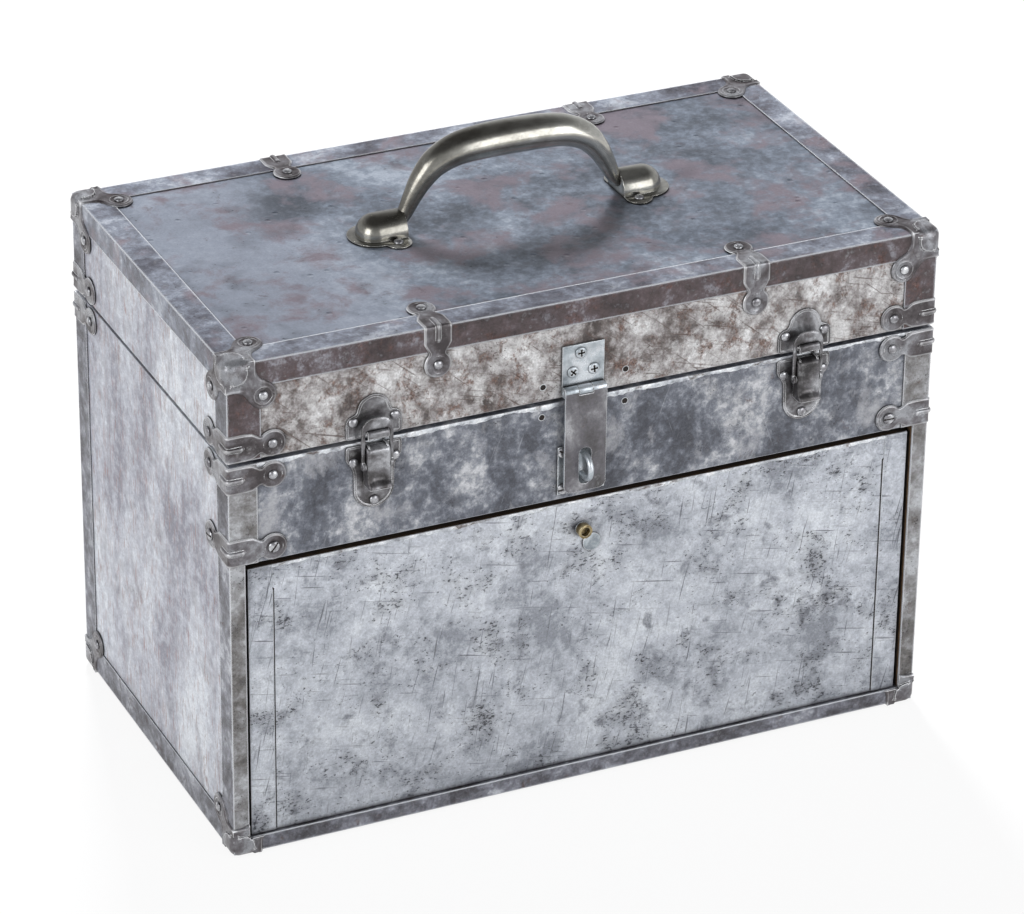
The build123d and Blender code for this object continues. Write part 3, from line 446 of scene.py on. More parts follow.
    # Relief, from the sheet's swells to its grit and pits
    relief = add(tree, "ShaderNodeBump", {
        "Height": field["swell"], "Strength": dent, "Distance": 4 * MM, "Normal": eased,
    }).outputs[0]
    if dings:
        cells = add(
            tree, "ShaderNodeTexVoronoi", {"Vector": place, "Scale": per_mm(DING_MM)}
        ).outputs["Distance"]
        struck = add(
            tree, "ShaderNodeMapRange", {"Value": cells, "From Min": 0.02, "From Max": 0.13}
        ).outputs[0]
        relief = add(tree, "ShaderNodeBump", {
            "Height": struck, "Strength": dings, "Distance": 1.0 * MM, "Normal": relief,
        }).outputs[0]
    raised = add(tree, "ShaderNodeMath", {
        0: field["grit"], 1: 0.5, 2: field["mottle"],
    }, operation="MULTIPLY_ADD").outputs[0]
    if speck:
        raised = add(tree, "ShaderNodeMath", {0: raised, 1: masks["pits"]}, operation="SUBTRACT").outputs[0]
    relief = add(tree, "ShaderNodeBump", {
        "Height": raised, "Strength": grain, "Distance": 0.6 * MM, "Normal": relief,
    }).outputs[0]
    roughness = add(tree, "ShaderNodeMapRange", {
        "Value": level, "From Min": 0.3, "From Max": 0.7, "To Min": rough[1], "To Max": rough[0],
    }).outputs[0]
    for kind, mask in masks.items():
        if kind not in ("painted reflection", "patch", "smudge"):
            roughness = add(tree, "ShaderNodeMath", {
                0: mask, 1: 0.25, 2: roughness,
            }, operation="MULTIPLY_ADD", use_clamp=True).outputs[0]
    shader = add(tree, "ShaderNodeBsdfPrincipled", {
        "Base Color": colour, "Roughness": roughness, "Metallic": metallic, "Normal": relief,
    })
    add(tree, "ShaderNodeOutputMaterial", {"Surface": shader.outputs[0]})
    return material


FINISHES = {}


def finish(name):
    """The finish by name, made the first time that it is asked for."""
    if name not in FINISHES:
        FINISHES[name] = RECIPES[name]()
    return FINISHES[name]


# Stripped mild steel of the lid's top: cool slate grey with mauve clouds and dings that catch the light,
# and a painted reflection that pales its left end
def top_sheet():
    return worn_steel(
        "stripped_steel_top", ["#454A53", "#59606B", "#6A727F", "#7A8390", "#959DA9"], cloud_mm=90,
        patch=("#726A73", 46, 0.50, 0.60), rust=("#675E64", "#54494D", 26, 0.60, 0.70),
        speck=("#33353C", 1.9, 0.93, 1.0, 1.6, 0.5), edge=("#B9BDC6", 0.6), rough=(0.32, 0.46), metallic=0.25,
        painted_reflection_end=("#868C99", -185, -245),
        dent=0.5, grain=0.22, dings=1.0, grit=0.14,
    )


# The sides: pale lilac grey with reddish runs and hair scratches down the sheet
def side_sheet():
    return worn_steel(
        "stripped_steel_sides", ["#82828D", "#A1A3AE", "#B3B6BF", "#C0C4CC", "#D2D6DC"], cloud_mm=60,
        stretch=(1, 1, 0.4), patch=("#8E8E98", 26, 0.56, 0.68), rust=("#9C827C", "#7F6A64", 14, 0.58, 0.68),
        speck=("#6E6A70", 1.9, 0.94, 1.02, 1.0, 0.5),
        scratch=("#9C7F7C", ((0, 86, 0), (0, 97, 0)), 0.62, 0.70),
        edge=("#D6DAE0", 0.6), rough=(0.36, 0.5), metallic=0.15, dent=0.4, grain=0.2,
    )


# The back: the sides' sheet painted darker and duller, as shade, so that the rear lamp does not wash it out
def shaded_back_sheet():
    return worn_steel(
        "shaded_steel_back", ["#5E5E68", "#747680", "#84878F", "#91949B", "#A4A7AD"], cloud_mm=60,
        stretch=(1, 1, 0.4), patch=("#6C6C75", 26, 0.56, 0.68), rust=("#7C6963", "#665651", 14, 0.58, 0.68),
        speck=("#565257", 1.9, 0.94, 1.02, 1.0, 0.5),
        scratch=("#7F6A67", ((0, 86, 0), (0, 97, 0)), 0.62, 0.70),
        edge=("#B4B8BE", 0.6), rough=(0.40, 0.54), metallic=0.15, dent=0.4, grain=0.2,
    )


# The band round the lid: cream bare metal left between brown rusted patches
def band_sheet():
    return worn_steel(
        "rusted_steel_band", ["#453D3B", "#736C6A", "#9A9696", "#B9B7B7", "#D8D8D9"], cloud_mm=24,
        stretch=(1, 1, 0.8), patch=("#C6C5C5", 24, 0.52, 0.62), rust=("#80655A", "#4C3A34", 11, 0.52, 0.62),
        speck=("#40322D", 1.5, 0.86, 0.96, 1.3, 0.5),
        scratch=("#55453F", ((0, 40, 0), (0, 15, 0)), 0.64, 0.72),
        edge=("#C9CBD0", 0.7), rough=(0.36, 0.6), metallic=0.15, dent=0.35, grain=0.35, grit=0.3,
    )


# The till's front: cloudy blue grey, lighter where it was rubbed
def till_sheet():
    return worn_steel(
        "clouded_steel_till", ["#3F4149", "#555861", "#6E727C", "#94979E", "#C4C5C9"], cloud_mm=44,
        stretch=(1, 1, 0.75), patch=("#A5A6AB", 40, 0.53, 0.64), rust=("#6A534D", "#4B3835", 18, 0.62, 0.70),
        speck=("#34343A", 1.6, 0.92, 0.99, 1.2, 0.5),
        scratch=("#9EA1A8", ((0, 70, 0), (0, 110, 0)), 0.71, 0.82),
        edge=("#C4C8D0", 0.8), rough=(0.30, 0.48), metallic=0.2, dent=0.6, grain=0.28,
    )


# The lift-out panel: the palest sheet, peppered with short black pits, smudges and fine scratches
def panel_sheet():
    return worn_steel(
        "pitted_steel_panel", ["#8A8E96", "#A8ACB4", "#B8BCC4", "#C3C7CE", "#D0D4DA"], cloud_mm=55,
        patch=("#74777F", 15, 0.56, 0.70), speck=("#2A2A30", 1.5, 0.915, 1.01, 1.7, 0.62),
        scratch=("#4A4B52", ((0, 12, 0), (0, 98, 0), (0, 105, 0)), 0.66, 0.74), edge=("#D9DCE1", 0.7),
        rough=(0.36, 0.5), metallic=0.15, dent=0.35, grain=0.3,
    )


# The panel's folded hems: the same sheet, rubbed cleaner along the edge
def hem_sheet():
    return worn_steel(
        "rubbed_hem_steel", ["#83878F", "#9CA0A8", "#ABAFB7", "#B7BBC2", "#C6CAD0"], cloud_mm=60,
        patch=("#7B7E86", 15, 0.60, 0.72), speck=("#2A2A30", 1.5, 0.96, 1.04, 1.6, 0.5),
        edge=("#E6E9ED", 1.0),
        rough=(0.36, 0.5), metallic=0.15, dent=0.2, grain=0.2, edge_mm=0.6,
    )


# Folded edge trims: grey oxide, painted shade at the folds, corners painted bright as wear and highlight
def trim_steel():
    return worn_steel(
        "oxidised_trim_steel", ["#3C3A3F", "#56565D", "#6F7079", "#878992", "#B2B5BC"], cloud_mm=30,
        rust=("#5F4B45", "#3E2F2C", 12, 0.57, 0.68), speck=("#262223", 1.6, 0.90, 0.98, 1.2, 0.5),
        edge=("#DCDFE4", 1.0), rough=(0.32, 0.5), metallic=0.25, dent=0.25, edge_mm=1.5, grain=0.25,
    )


# The front posts: the same steel, rubbed to a warm grey with fine black pits
def post_steel():
    return worn_steel(
        "rubbed_post_steel", ["#4A4747", "#686563", "#807F80", "#959597", "#B2B4B8"], cloud_mm=34,
        rust=("#66504A", "#43332F", 12, 0.58, 0.68), speck=("#262223", 1.5, 0.88, 0.96, 1.0, 0.5),
        edge=("#E2E4E8", 1.0), rough=(0.32, 0.5), metallic=0.2, dent=0.25, edge_mm=1.5, grain=0.28,
    )


# Upper faces of the lid's trims: the same steel rubbed through to grey
def lid_trim_steel():
    return worn_steel(
        "rubbed_trim_steel", ["#45444D", "#5C5E69", "#717581", "#858B98", "#A9AEB8"], cloud_mm=40,
        patch=("#776C74", 36, 0.54, 0.66), rust=("#5F4A48", "#45363A", 18, 0.60, 0.70),
        speck=("#2F2B30", 1.7, 0.91, 0.99, 1.2, 0.5), edge=("#E0E3E8", 1.0), rough=(0.30, 0.46),
        metallic=0.25,
        dent=0.4, edge_mm=1.7, grain=0.25, dings=0.5,
    )


# Front and end faces of the lid's trims: dark brown oxide
def brown_trim_steel():
    return worn_steel(
        "brown_trim_steel", ["#352C2E", "#433839", "#4E4244", "#5C5256", "#87868D"], cloud_mm=30,
        rust=("#6A4A42", "#3C2B28", 14, 0.53, 0.65), speck=("#1F1A1B", 1.6, 0.90, 0.98, 1.3, 0.5),
        edge=("#D2D5DB", 1.0), rough=(0.34, 0.54), metallic=0.2, dent=0.3, edge_mm=1.7, grain=0.25,
    )


# Stamped clamps and caps: dark steel whose raised rims and ribs are painted bright, as polish from handling
# and as highlights, with painted shade in the creases beside them
def stamped_steel():
    return worn_steel(
        "stamped_fitting_steel", ["#3B3638", "#504B4D", "#656266", "#7A797D", "#9FA1A6"], cloud_mm=24,
        rust=("#5E463D", "#3F302B", 9, 0.59, 0.69), speck=("#242021", 1.3, 0.90, 0.98, 1.0, 0.5),
        edge=("#F0F1F3", 1.0), rough=(0.24, 0.42), metallic=0.4, dent=0.03, edge_mm=0.7, shade_and_dirt=0.95,
        mottling=0.2, grit=0.1, ridges=True,
    )


# Rivet heads: hammered bright steel
def rivet_steel():
    return worn_steel(
        "bright_rivet_steel", ["#6C6A6E", "#858488", "#9C9CA0", "#B4B5B8", "#D0D1D4"], cloud_mm=5,
        rust=("#6E5A50", "#4C3C36", 4, 0.64, 0.74), edge=("#ECEDEF", 0.3), rough=(0.20, 0.34), metallic=0.7,
        dent=0.0, grain=0.08, edge_mm=0.3, shade_and_dirt=0.9, grit=0.12,
    )


# Zinc-plated leaf, knuckles and screws of the hasp
def zinc_plate():
    return worn_steel(
        "zinc_plate", ["#858D94", "#9AA2A8", "#ABB3B9", "#B9C0C6", "#CFD4D9"], cloud_mm=14,
        speck=("#54575B", 1.4, 0.94, 1.02, 1.0, 0.5), edge=("#F4F6F8", 1.0), rough=(0.24, 0.38), metallic=0.5,
        dent=0.03, edge_mm=0.6, shade_and_dirt=0.95, mottling=0.3, grit=0.12,
    )


# The hasp's strap: plating worn down to dull brown grey
def strap_steel():
    return worn_steel(
        "dulled_strap_steel", ["#4C4A4B", "#5A585B", "#67656A", "#7C7B7F", "#A0A0A3"], cloud_mm=30,
        stretch=(1, 1, 0.6), rust=("#62544C", "#4A403B", 14, 0.60, 0.72), edge=("#DEE0E3", 1.0),
        rough=(0.26, 0.42), metallic=0.35, dent=0.15, edge_mm=0.8, shade_and_dirt=0.9, mottling=0.25, grit=0.1,
    )


# Latch plates, levers and loops: dark plated steel with outlines painted bright, as wear and as highlights
def latch_steel():
    return worn_steel(
        "worn_latch_steel", ["#343233", "#4B494A", "#636164", "#7E7E81", "#AAABAF"], cloud_mm=20,
        rust=("#5A463F", "#3B2E2A", 8, 0.61, 0.71), speck=("#221E1E", 1.3, 0.91, 0.99, 1.0, 0.5),
        edge=("#F2F3F5", 1.0), rough=(0.22, 0.40), metallic=0.45, dent=0.02, edge_mm=0.75, shade_and_dirt=0.95,
        mottling=0.2, grit=0.08,
    )


# Nickel plate of the handle: warm grey, smooth and soft in its reflections, thinned on the crown
def nickel_plate():
    return worn_steel(
        "worn_nickel_plate", ["#6E6B64", "#85837C", "#96948D", "#A5A49D", "#B9B7B0"], cloud_mm=46,
        stretch=(0.4, 1, 1), rust=("#75644F", "#5C4F3F", 14, 0.64, 0.76),
        speck=("#3E3A35", 1.2, 0.97, 1.05, 1.0, 0.5),
        edge=("#EDECE8", 0.6), rough=(0.16, 0.27), metallic=0.9, dent=0.06, grain=0.05, edge_mm=0.5, shade_and_dirt=0.9,
        mottling=0.15, grit=0.05,
    )


# Brass of the stud and of the drawers' knobs
def aged_brass():
    return worn_steel(
        "aged_brass", ["#5D4F38", "#78694B", "#92825F", "#A89975", "#C8BB9A"], cloud_mm=5,
        edge=("#EDE4C6", 0.9), rough=(0.22, 0.38), metallic=0.8, dent=0.0, grain=0.06, edge_mm=0.35,
    )


# Bright torn lip where the sheet's folded edge was bent and rubbed
def bright_lip():
    return worn_steel(
        "bright_torn_edge", ["#8F9299", "#B3B7BE", "#CFD3D8", "#DFE2E6", "#F0F1F3"], cloud_mm=12,
        patch=("#5F5654", 14, 0.55, 0.64), edge=("#F4F6F8", 0.7), rough=(0.3, 0.42), metallic=0.2, dent=0.1,
        edge_mm=0.4, shade_and_dirt=0.5,
    )


# Grey enamel of the drawers, with a faint orange-peel
def drawer_enamel():
    return worn_steel(
        "grey_drawer_enamel", ["#565C62", "#5F656B", "#656B71", "#6B7177", "#767C82"], cloud_mm=60,
        speck=("#3A3D40", 1.6, 0.96, 1.04, 1.0, 0.5), edge=("#9A9DA0", 0.5), rough=(0.3, 0.4), metallic=0.0,
        dent=0.05, grain=0.15, edge_mm=0.5, grit=0.06,
    )


# Birch plywood of the core: long dark grain lines on warm tan, with painted shade and grime in its corners
def birch_ply():
    material, tree = bare_material("aged_birch_plywood")
    place = add(tree, "ShaderNodeTexCoord").outputs["Object"]
    along = add(tree, "ShaderNodeMapping", {"Vector": place, "Scale": (0.08, 1.0, 1.0)}).outputs[0]
    grain = add(tree, "ShaderNodeTexNoise", {
        "Vector": along, "Scale": per_mm(5), "Detail": 8.0, "Roughness": 0.6, "Distortion": 0.5,
    }).outputs["Fac"]
    tone = add(tree, "ShaderNodeValToRGB", {"Fac": grain}, stops=[
        (0.3, "#6A5034"), (0.5, "#8C6C48"), (0.7, "#A3835B"),
    ]).outputs["Color"]
    # Painted shade, with grime, darkens the ply in its corners and gaps
    corner = add(tree, "ShaderNodeAmbientOcclusion", {"Distance": 12 * MM}, samples=6).outputs["AO"]
    shade_and_grime = add(tree, "ShaderNodeMapRange", {
        "Value": corner, "From Min": 0.3, "From Max": 0.9, "To Min": 1.0, "To Max": 0.0,
    }).outputs[0]
    tone = add(tree, "ShaderNodeMix", {0: shade_and_grime, 6: tone, 7: "#14100E"}, data_type="RGBA").outputs[2]
    fibre = add(tree, "ShaderNodeBump", {"Height": grain, "Strength": 0.25, "Distance": 0.3 * MM}).outputs[0]
    shader = add(tree, "ShaderNodeBsdfPrincipled", {"Base Color": tone, "Roughness": 0.68, "Normal": fibre})
    add(tree, "ShaderNodeOutputMaterial", {"Surface": shader.outputs[0]})
    return material


# Painted shade: the dark bottom of an empty screw hole, also laid in screw slots and beside the panel's hems
def hole_shadow():
    material, tree = bare_material("dark_hole")
    place = add(tree, "ShaderNodeTexCoord").outputs["Object"]
    grit = add(
        tree, "ShaderNodeTexNoise", {"Vector": place, "Scale": per_mm(0.8), "Detail": 3.0}
    ).outputs["Fac"]
    tone = add(
        tree, "ShaderNodeValToRGB", {"Fac": grit}, stops=[(0.3, "#141110"), (0.7, "#2A211D")]
    ).outputs["Color"]
    shader = add(tree, "ShaderNodeBsdfPrincipled", {"Base Color": tone, "Roughness": 0.9})
    add(tree, "ShaderNodeOutputMaterial", {"Surface": shader.outputs[0]})
    return material


RECIPES = {
    recipe.__name__: recipe for recipe in (
        top_sheet, side_sheet, shaded_back_sheet, band_sheet, till_sheet, panel_sheet, hem_sheet, trim_steel,
        post_steel, lid_trim_steel, brown_trim_steel, stamped_steel, rivet_steel, zinc_plate, strap_steel,
        latch_steel, nickel_plate, aged_brass, bright_lip, drawer_enamel, birch_ply, hole_shadow,
    )
}


# Stamped fittings, drawn with the edge of the box along Z and the two legs to -X and +Y
# Their relief in millimetres: the roll of the edge, the rim just in from it, and the floor of the ring
ROLL, RIM_IN, RIM_WIDE, RIM_HIGH, FLOOR_IN, FLOOR_SUNK = 0.7, 1.4, 0.7, 0.28, 0.6, 0.2


def bump(distance, width):
    """1 in the middle of a rib and 0 from its foot outwards."""
    return max(0.0, 1 - (distance / width) ** 2)


def folded(s, v, height, bend):
    """A point of a strap folded round the edge: s along it from the edge, v across, height outwards."""
    if s <= -bend:
        return Vector((s, -height, v))
    if s >= bend:
        return Vector((height, s, v))
    angle = radians(45 + 45 * s / bend)
    reach = bend + height
    return Vector((-bend + reach * sin(angle), bend - reach * cos(angle), v))


def strap_half_width(a, sizes, reach):
    """Half the width of a strap fitting at a distance from its fold."""
    lobe = sizes.lobe_radius
    shoulder = reach - sizes.shoulder_back
    neck = reach - sizes.neck_back
    if a <= shoulder:
        return sizes.strap_wide / 2
    if a <= neck:
        share = (a - shoulder) / (neck - shoulder)
        return sizes.strap_wide / 2 + (sizes.neck_wide - sizes.strap_wide) / 2 * share
    circle = sqrt(max(0.0, lobe ** 2 - (a - reach) ** 2))
    return max(circle, sizes.neck_wide / 2) if a < reach else circle


def strap_form(sizes, reach):
    """A folded strap with a rolled rim, an embossed ring in each lobe and a rib over its fold."""
    lobe = sizes.lobe_radius
    neck = reach - sizes.neck_back
    half = [0.0, 0.25, 0.5, 0.75, 1.0]
    half += [1.0 + (sizes.rib_long - 1.0) * k / 10 for k in range(1, 11)]
    half += [sizes.rib_long + 0.8, (sizes.rib_long + neck) / 2, neck - 3.0, neck - 1.0, neck]
    half += [neck + 1.0 + (reach - neck - 1.0) * k / 9 for k in range(9)]
    half += [reach + lobe * sin(radians(4 + 86 * k / 14)) for k in range(15)]
    half = sorted(set(round(a, 4) for a in half))
    along = [-a for a in reversed(half[1:])] + half
    across = [-1.0, -0.97, -0.93, -0.88, -0.8, -0.68, -0.55, -0.42, -0.3, -0.2, -0.12, -0.05]
    across += [0.0] + [-t for t in reversed(across)]
    rows = []
    for s in along:
        a = abs(s)
        width = max(strap_half_width(a, sizes, reach), 0.02)
        row = []
        for t in across:
            v = t * width
            ring = sqrt((a - reach) ** 2 + v ** 2)
            inside = (1 - abs(t)) * width
            if a > neck:
                inside = max(0.0, min(inside, lobe - ring)) if a > reach else inside
            height = sizes.strap_thick * sqrt(min(1.0, inside / ROLL))
            height += RIM_HIGH * bump(inside - RIM_IN, RIM_WIDE)
            height += 0.32 * bump(ring - sizes.ring_radius, 0.8)
            if ring < sizes.ring_radius - FLOOR_IN:
                height -= FLOOR_SUNK
            rib = bump(v, sizes.rib_wide / 2) * min(1.0, max(0.0, (sizes.rib_long - a) / 1.5))
            height += sizes.rib_high * sqrt(rib)
            row.append(folded(s, v, max(0.0, height), 1.0))
        rows.append(row)
    return grid_form(rows)


def corner_matrices(height):
    """The four upright edges of the box at a level: front right, rear right, rear left, front left."""
    signs = [(1, -1, 0), (1, 1, 90), (-1, 1, 180), (-1, -1, 270)]
    half_deep = CASE_DEEP / 2
    return [
        at(sx * HALF_W, CASE_MIDDLE + sy * half_deep, height) @ turned(angle, "Z") for sx, sy, angle in signs
    ]


def cap_inside(a, b, sizes):
    """How far a point of a cap's face lies inside the outline of its square and its tongue."""
    square = min(sizes.cap_square - a, sizes.cap_square - b)
    lobe = sizes.lobe_radius - sqrt((a - sizes.cap_reach) ** 2 + (b - sizes.cap_reach) ** 2)
    share = max(0.0, min(1.0, 0.5 + 0.5 * (square - lobe) / sizes.cap_neck))
    return lobe + (square - lobe) * share + sizes.cap_neck * share * (1 - share)


def cap_face(sizes, on_face):
    """One face of a cap, fanned out from a point of its dome to its outline and its folds."""
    heart, fold = 9.0, sizes.cap_proud
    turns = [45 + 40 * (k / 36) for k in range(-36, 37)] + [85 + 280 * k / 44 for k in range(1, 44)]
    form = bmesh.new()
    rings = []
    edges = []
    for turn in turns:
        ca, sb = cos(radians(turn)), sin(radians(turn))
        # Halves the way to the outline thirty times
        low, high = 0.0, 40.0
        for _ in range(30):
            middle = (low + high) / 2
            a, b = heart + middle * ca, heart + middle * sb
            if cap_inside(a, b, sizes) > 0 and a > -fold and b > -fold:
                low = middle
            else:
                high = middle
        edges.append((ca, sb, low))
    steps = [0.0, 0.1, 0.3, 0.6, 0.95, 1.4, 1.85, 2.3]
    inner_rings = 34
    for ring in range(len(steps) + inner_rings):
        row = []
        for ca, sb, reach in edges:
            if ring < len(steps):
                radius = reach - steps[ring]
            else:
                radius = (reach - 2.6) * (1 - (ring - len(steps)) / (inner_rings - 1))
            a, b = heart + radius * ca, heart + radius * sb
            inside = max(0.0, cap_inside(a, b, sizes))
            away = sqrt((a - sizes.cap_reach) ** 2 + (b - sizes.cap_reach) ** 2)
            far = (max(a, 0.0) ** 4 + max(b, 0.0) ** 4) ** 0.25
            lift = min(1.0, max(0.0, (sizes.cap_dome - far) / 4.0))
            swell = lift * lift * (3 - 2 * lift)
            height = sizes.strap_thick + (sizes.cap_proud - sizes.strap_thick) * swell
            height *= sqrt(min(1.0, inside / ROLL))
            height += RIM_HIGH * bump(inside - RIM_IN, RIM_WIDE) + 0.34 * bump(away - sizes.ring_radius, 0.9)
            if away < sizes.ring_radius - FLOOR_IN:
                height -= FLOOR_SUNK
            a, b = max(a, -height), max(b, -height)
            point = on_face(a, b, height)
            row.append(form.verts.new(rounded_corner(point, sizes) if far < sizes.cap_dome else point))
        rings.append(row)
    wide = len(turns)
    for outer, inner in zip(rings, rings[1:]):
        for k in range(wide):
            form.faces.new((outer[k], outer[(k + 1) % wide], inner[(k + 1) % wide], inner[k]))
    bmesh.ops.remove_doubles(form, verts=form.verts, dist=SAME_POINT)
    return form


def rounded_corner(point, sizes):
    """A point of the dome pulled in to the ball of its corner."""
    limit = sizes.cap_proud - sizes.cap_round
    core = Vector((min(point.x, limit), max(point.y, -limit), min(point.z, limit)))
    away = point - core
    return core + away.normalized() * sizes.cap_round if away.length > sizes.cap_round * 0.5 else point


def cap_form(sizes):
    """A domed cap for the corner whose faces are -Y, +X and +Z, with a riveted tongue on each."""
    faces = (
        (lambda a, b, height: Vector((-a, -height, -b)), Vector((0, -1, 0))),
        (lambda a, b, height: Vector((height, a, -b)), Vector((1, 0, 0))),
        (lambda a, b, height: Vector((-a, b, height)), Vector((0, 0, 1))),
    )
    whole = bmesh.new()
    for on_face, outward in faces:
        form = cap_face(sizes, on_face)
        total = Vector((0, 0, 0))
        for polygon in form.faces:
            polygon.normal_update()
            total += polygon.normal * polygon.calc_area()
        if total.dot(outward) < 0:
            bmesh.ops.reverse_faces(form, faces=form.faces)
        mesh = bpy.data.meshes.new("cap_patch")
        form.to_mesh(mesh)
        form.free()
        whole.from_mesh(mesh)
        bpy.data.meshes.remove(mesh)
    return whole


def cleared_for_panel(form):
    """The cap with its front face cut away where the panel and drawers pass, and its cut edges walled in."""
    cut_x, cut_z = low_high("bottom_drawer")[1].x + 1.0, PANEL_LOW.z - 0.6
    for spot, way in (((cut_x, 0, 0), (1, 0, 0)), ((-cut_x, 0, 0), (1, 0, 0)), ((0, 0, cut_z), (0, 0, 1))):
        bmesh.ops.bisect_plane(form, geom=form.verts[:] + form.edges[:] + form.faces[:], dist=0.0001,
                               plane_co=spot, plane_no=way)
    gone = []
    for face in form.faces:
        centre = face.calc_center_median()
        if centre.y < FRONT + 0.05 and abs(centre.x) < cut_x and centre.z > cut_z:
            gone.append(face)
    bmesh.ops.delete(form, geom=gone, context="FACES")
    rim = [
        e for e in form.edges if e.is_boundary and all(
            v.co.y < FRONT - 0.3 and v.co.z > cut_z - 0.01 and abs(v.co.x) < cut_x + 0.01 for v in e.verts)
    ]
    walls = bmesh.ops.extrude_edge_only(form, edges=rim)["geom"]
    for vert in [g for g in walls if isinstance(g, bmesh.types.BMVert)]:
        vert.co.y = FRONT + 0.1
    return form


# Geometry Nodes: one head on every seat
def heads_on_seats(name, places, head, material):
    """A mesh with a copy of the head standing on each seat along its normal."""
    cloud = bpy.data.meshes.new(name + "_seats")
    cloud.from_pydata([tuple(seat * MM) for seat, normal in places], [], [])
    cloud.attributes.new("direction", "FLOAT_VECTOR", "POINT")
    cloud.attributes.new("turn", "FLOAT", "POINT")
    for index, (seat, normal) in enumerate(places):
        cloud.attributes["direction"].data[index].vector = normal
        cloud.attributes["turn"].data[index].value = (index * 2.4) % pi
    carrier = bpy.data.objects.new(name + "_carrier", cloud)
    bpy.context.scene.collection.objects.link(carrier)
    source = bpy.data.objects.new(name + "_head", head)
    bpy.context.scene.collection.objects.link(source)
    tree = bpy.data.node_groups.new(name + "_tree", "GeometryNodeTree")
    tree.interface.new_socket("Geometry", in_out="INPUT", socket_type="NodeSocketGeometry")
    size = tree.interface.new_socket("Head size", in_out="INPUT", socket_type="NodeSocketFloat")
    tree.interface.new_socket("Geometry", in_out="OUTPUT", socket_type="NodeSocketGeometry")
    start = add(tree, "NodeGroupInput")
    shape = add(tree, "GeometryNodeObjectInfo", {"Object": source}).outputs["Geometry"]
    points = add(tree, "GeometryNodeMeshToPoints", {"Mesh": start.outputs["Geometry"]}).outputs["Points"]
    way = add(tree, "GeometryNodeInputNamedAttribute", {"Name": "direction"}, data_type="FLOAT_VECTOR")
    spin = add(tree, "GeometryNodeInputNamedAttribute", {"Name": "turn"}, data_type="FLOAT")
    upright = add(tree, "FunctionNodeAlignRotationToVector", {"Vector": way.outputs["Attribute"]}, axis="Z")
    about = add(tree, "FunctionNodeAxisAngleToRotation", {
        "Axis": (0.0, 0.0, 1.0), "Angle": spin.outputs["Attribute"],
    })
    facing = add(tree, "FunctionNodeRotateRotation", {
        "Rotation": upright.outputs[0], "Rotate By": about.outputs[0],
    }, rotation_space="LOCAL")
    copies = add(tree, "GeometryNodeInstanceOnPoints", {
        "Points": points, "Instance": shape, "Rotation": facing.outputs[0], "Scale": (1.0, 1.0, 1.0),
    })
    sized = add(tree, "GeometryNodeScaleInstances", {"Instances": copies.outputs[0]})
    tree.links.new(start.outputs["Head size"], sized.inputs["Scale"])
    real = add(tree, "GeometryNodeRealizeInstances", {"Geometry": sized.outputs[0]}).outputs[0]
    painted = add(tree, "GeometryNodeSetMaterial", {"Geometry": real, "Material": material}).outputs[0]
    add(tree, "NodeGroupOutput", {"Geometry": painted})
    modifier = carrier.modifiers.new("heads", "NODES")
    modifier.node_group = tree
    modifier[size.identifier] = 1.0
    evaluated = carrier.evaluated_get(bpy.context.evaluated_depsgraph_get())
    mesh = bpy.data.meshes.new_from_object(evaluated)
    mesh.name = name + "_mesh"
    carrier.modifiers.remove(modifier)
    for helper in (carrier, source):
        bpy.data.objects.remove(helper)
    bpy.data.node_groups.remove(tree)
    return mesh


def revolved(profile, around=20):
    """A closed form turned about Z from radius and height pairs, from the axis to the axis."""
    form = bmesh.new()
    turns = [2 * pi * k / around for k in range(around)]
    rings = [[form.verts.new((r * cos(turn), r * sin(turn), z)) for turn in turns] for r, z in profile]
    for lower, upper in zip(rings, rings[1:]):
        for k in range(around):
            form.faces.new((lower[k], lower[(k + 1) % around], upper[(k + 1) % around], upper[k]))
    bmesh.ops.remove_doubles(form, verts=form.verts, dist=0.001)
    return form


def rivet_head():
    """A domed head with a slightly flattened, hammered crown."""
    profile = [
        (0, -0.3), (3.3, -0.3), (3.3, 0.25), (3.05, 0.8), (2.45, 1.25), (1.6, 1.55), (0.8, 1.68), (0, 1.7)
    ]
    return mesh_of(revolved(profile, 18), "rivet_head")


def screw_head(arms):
    """A low countersunk head with a straight slot or a cross cut into it."""
    form = revolved([(0, -0.3), (4.0, -0.3), (4.0, 0.5), (3.5, 1.05), (2.6, 1.3), (2.2, 1.34), (0, 1.4)], 24)
    mesh = mesh_of(form, "screw_head")
    head = bpy.data.objects.new("screw_blank", mesh)
    bpy.context.scene.collection.objects.link(head)
    for turn, long in arms:
        tool_form = bmesh.new()
        bmesh.ops.create_cube(
            tool_form, size=1.0, matrix=turned(turn, "Z") @ Matrix.Diagonal((long, 1.2, 1.5, 1))
        )
        bmesh.ops.translate(tool_form, vec=(0, 0, 1.4), verts=tool_form.verts)
        tool = bpy.data.objects.new("slot_cutter", mesh_of(tool_form, "slot_cutter"))
        bpy.context.scene.collection.objects.link(tool)
        cut = head.modifiers.new("slot", "BOOLEAN")
        cut.operation = "DIFFERENCE"
        cut.solver = "EXACT"
        cut.object = tool
        result = bpy.data.meshes.new_from_object(head.evaluated_get(bpy.context.evaluated_depsgraph_get()))
        head.modifiers.remove(cut)
        head.data = result
        bpy.data.objects.remove(tool)
    bpy.data.objects.remove(head)
    return result


def slot_shade_form(arms):
    """Painted shade in a slot or a cross: a dark floor a little over the cut in the head."""
    bars = []
    for turn, long, wide in arms:
        x, z = long / 2, wide / 2
        form = slab([(-x, -z), (x, -z), (x, z), (-x, z)], 0.5, 0.05)
        bars.append(moved(form, at(0, 0, 0.86) @ turned(turn, "Z") @ turned(-90, "X")))
    return joined(bars, "slot_shade")


# The latches, drawn about x = 0 with the sheet's front at y = 0. An ear's plate is turned to face along X,
# with its round end away from the sheet.
EAR_TURNED = Matrix(((0, 1, 0, 0), (0, 0, -1, 0), (-1, 0, 0, 0), (0, 0, 0, 1)))


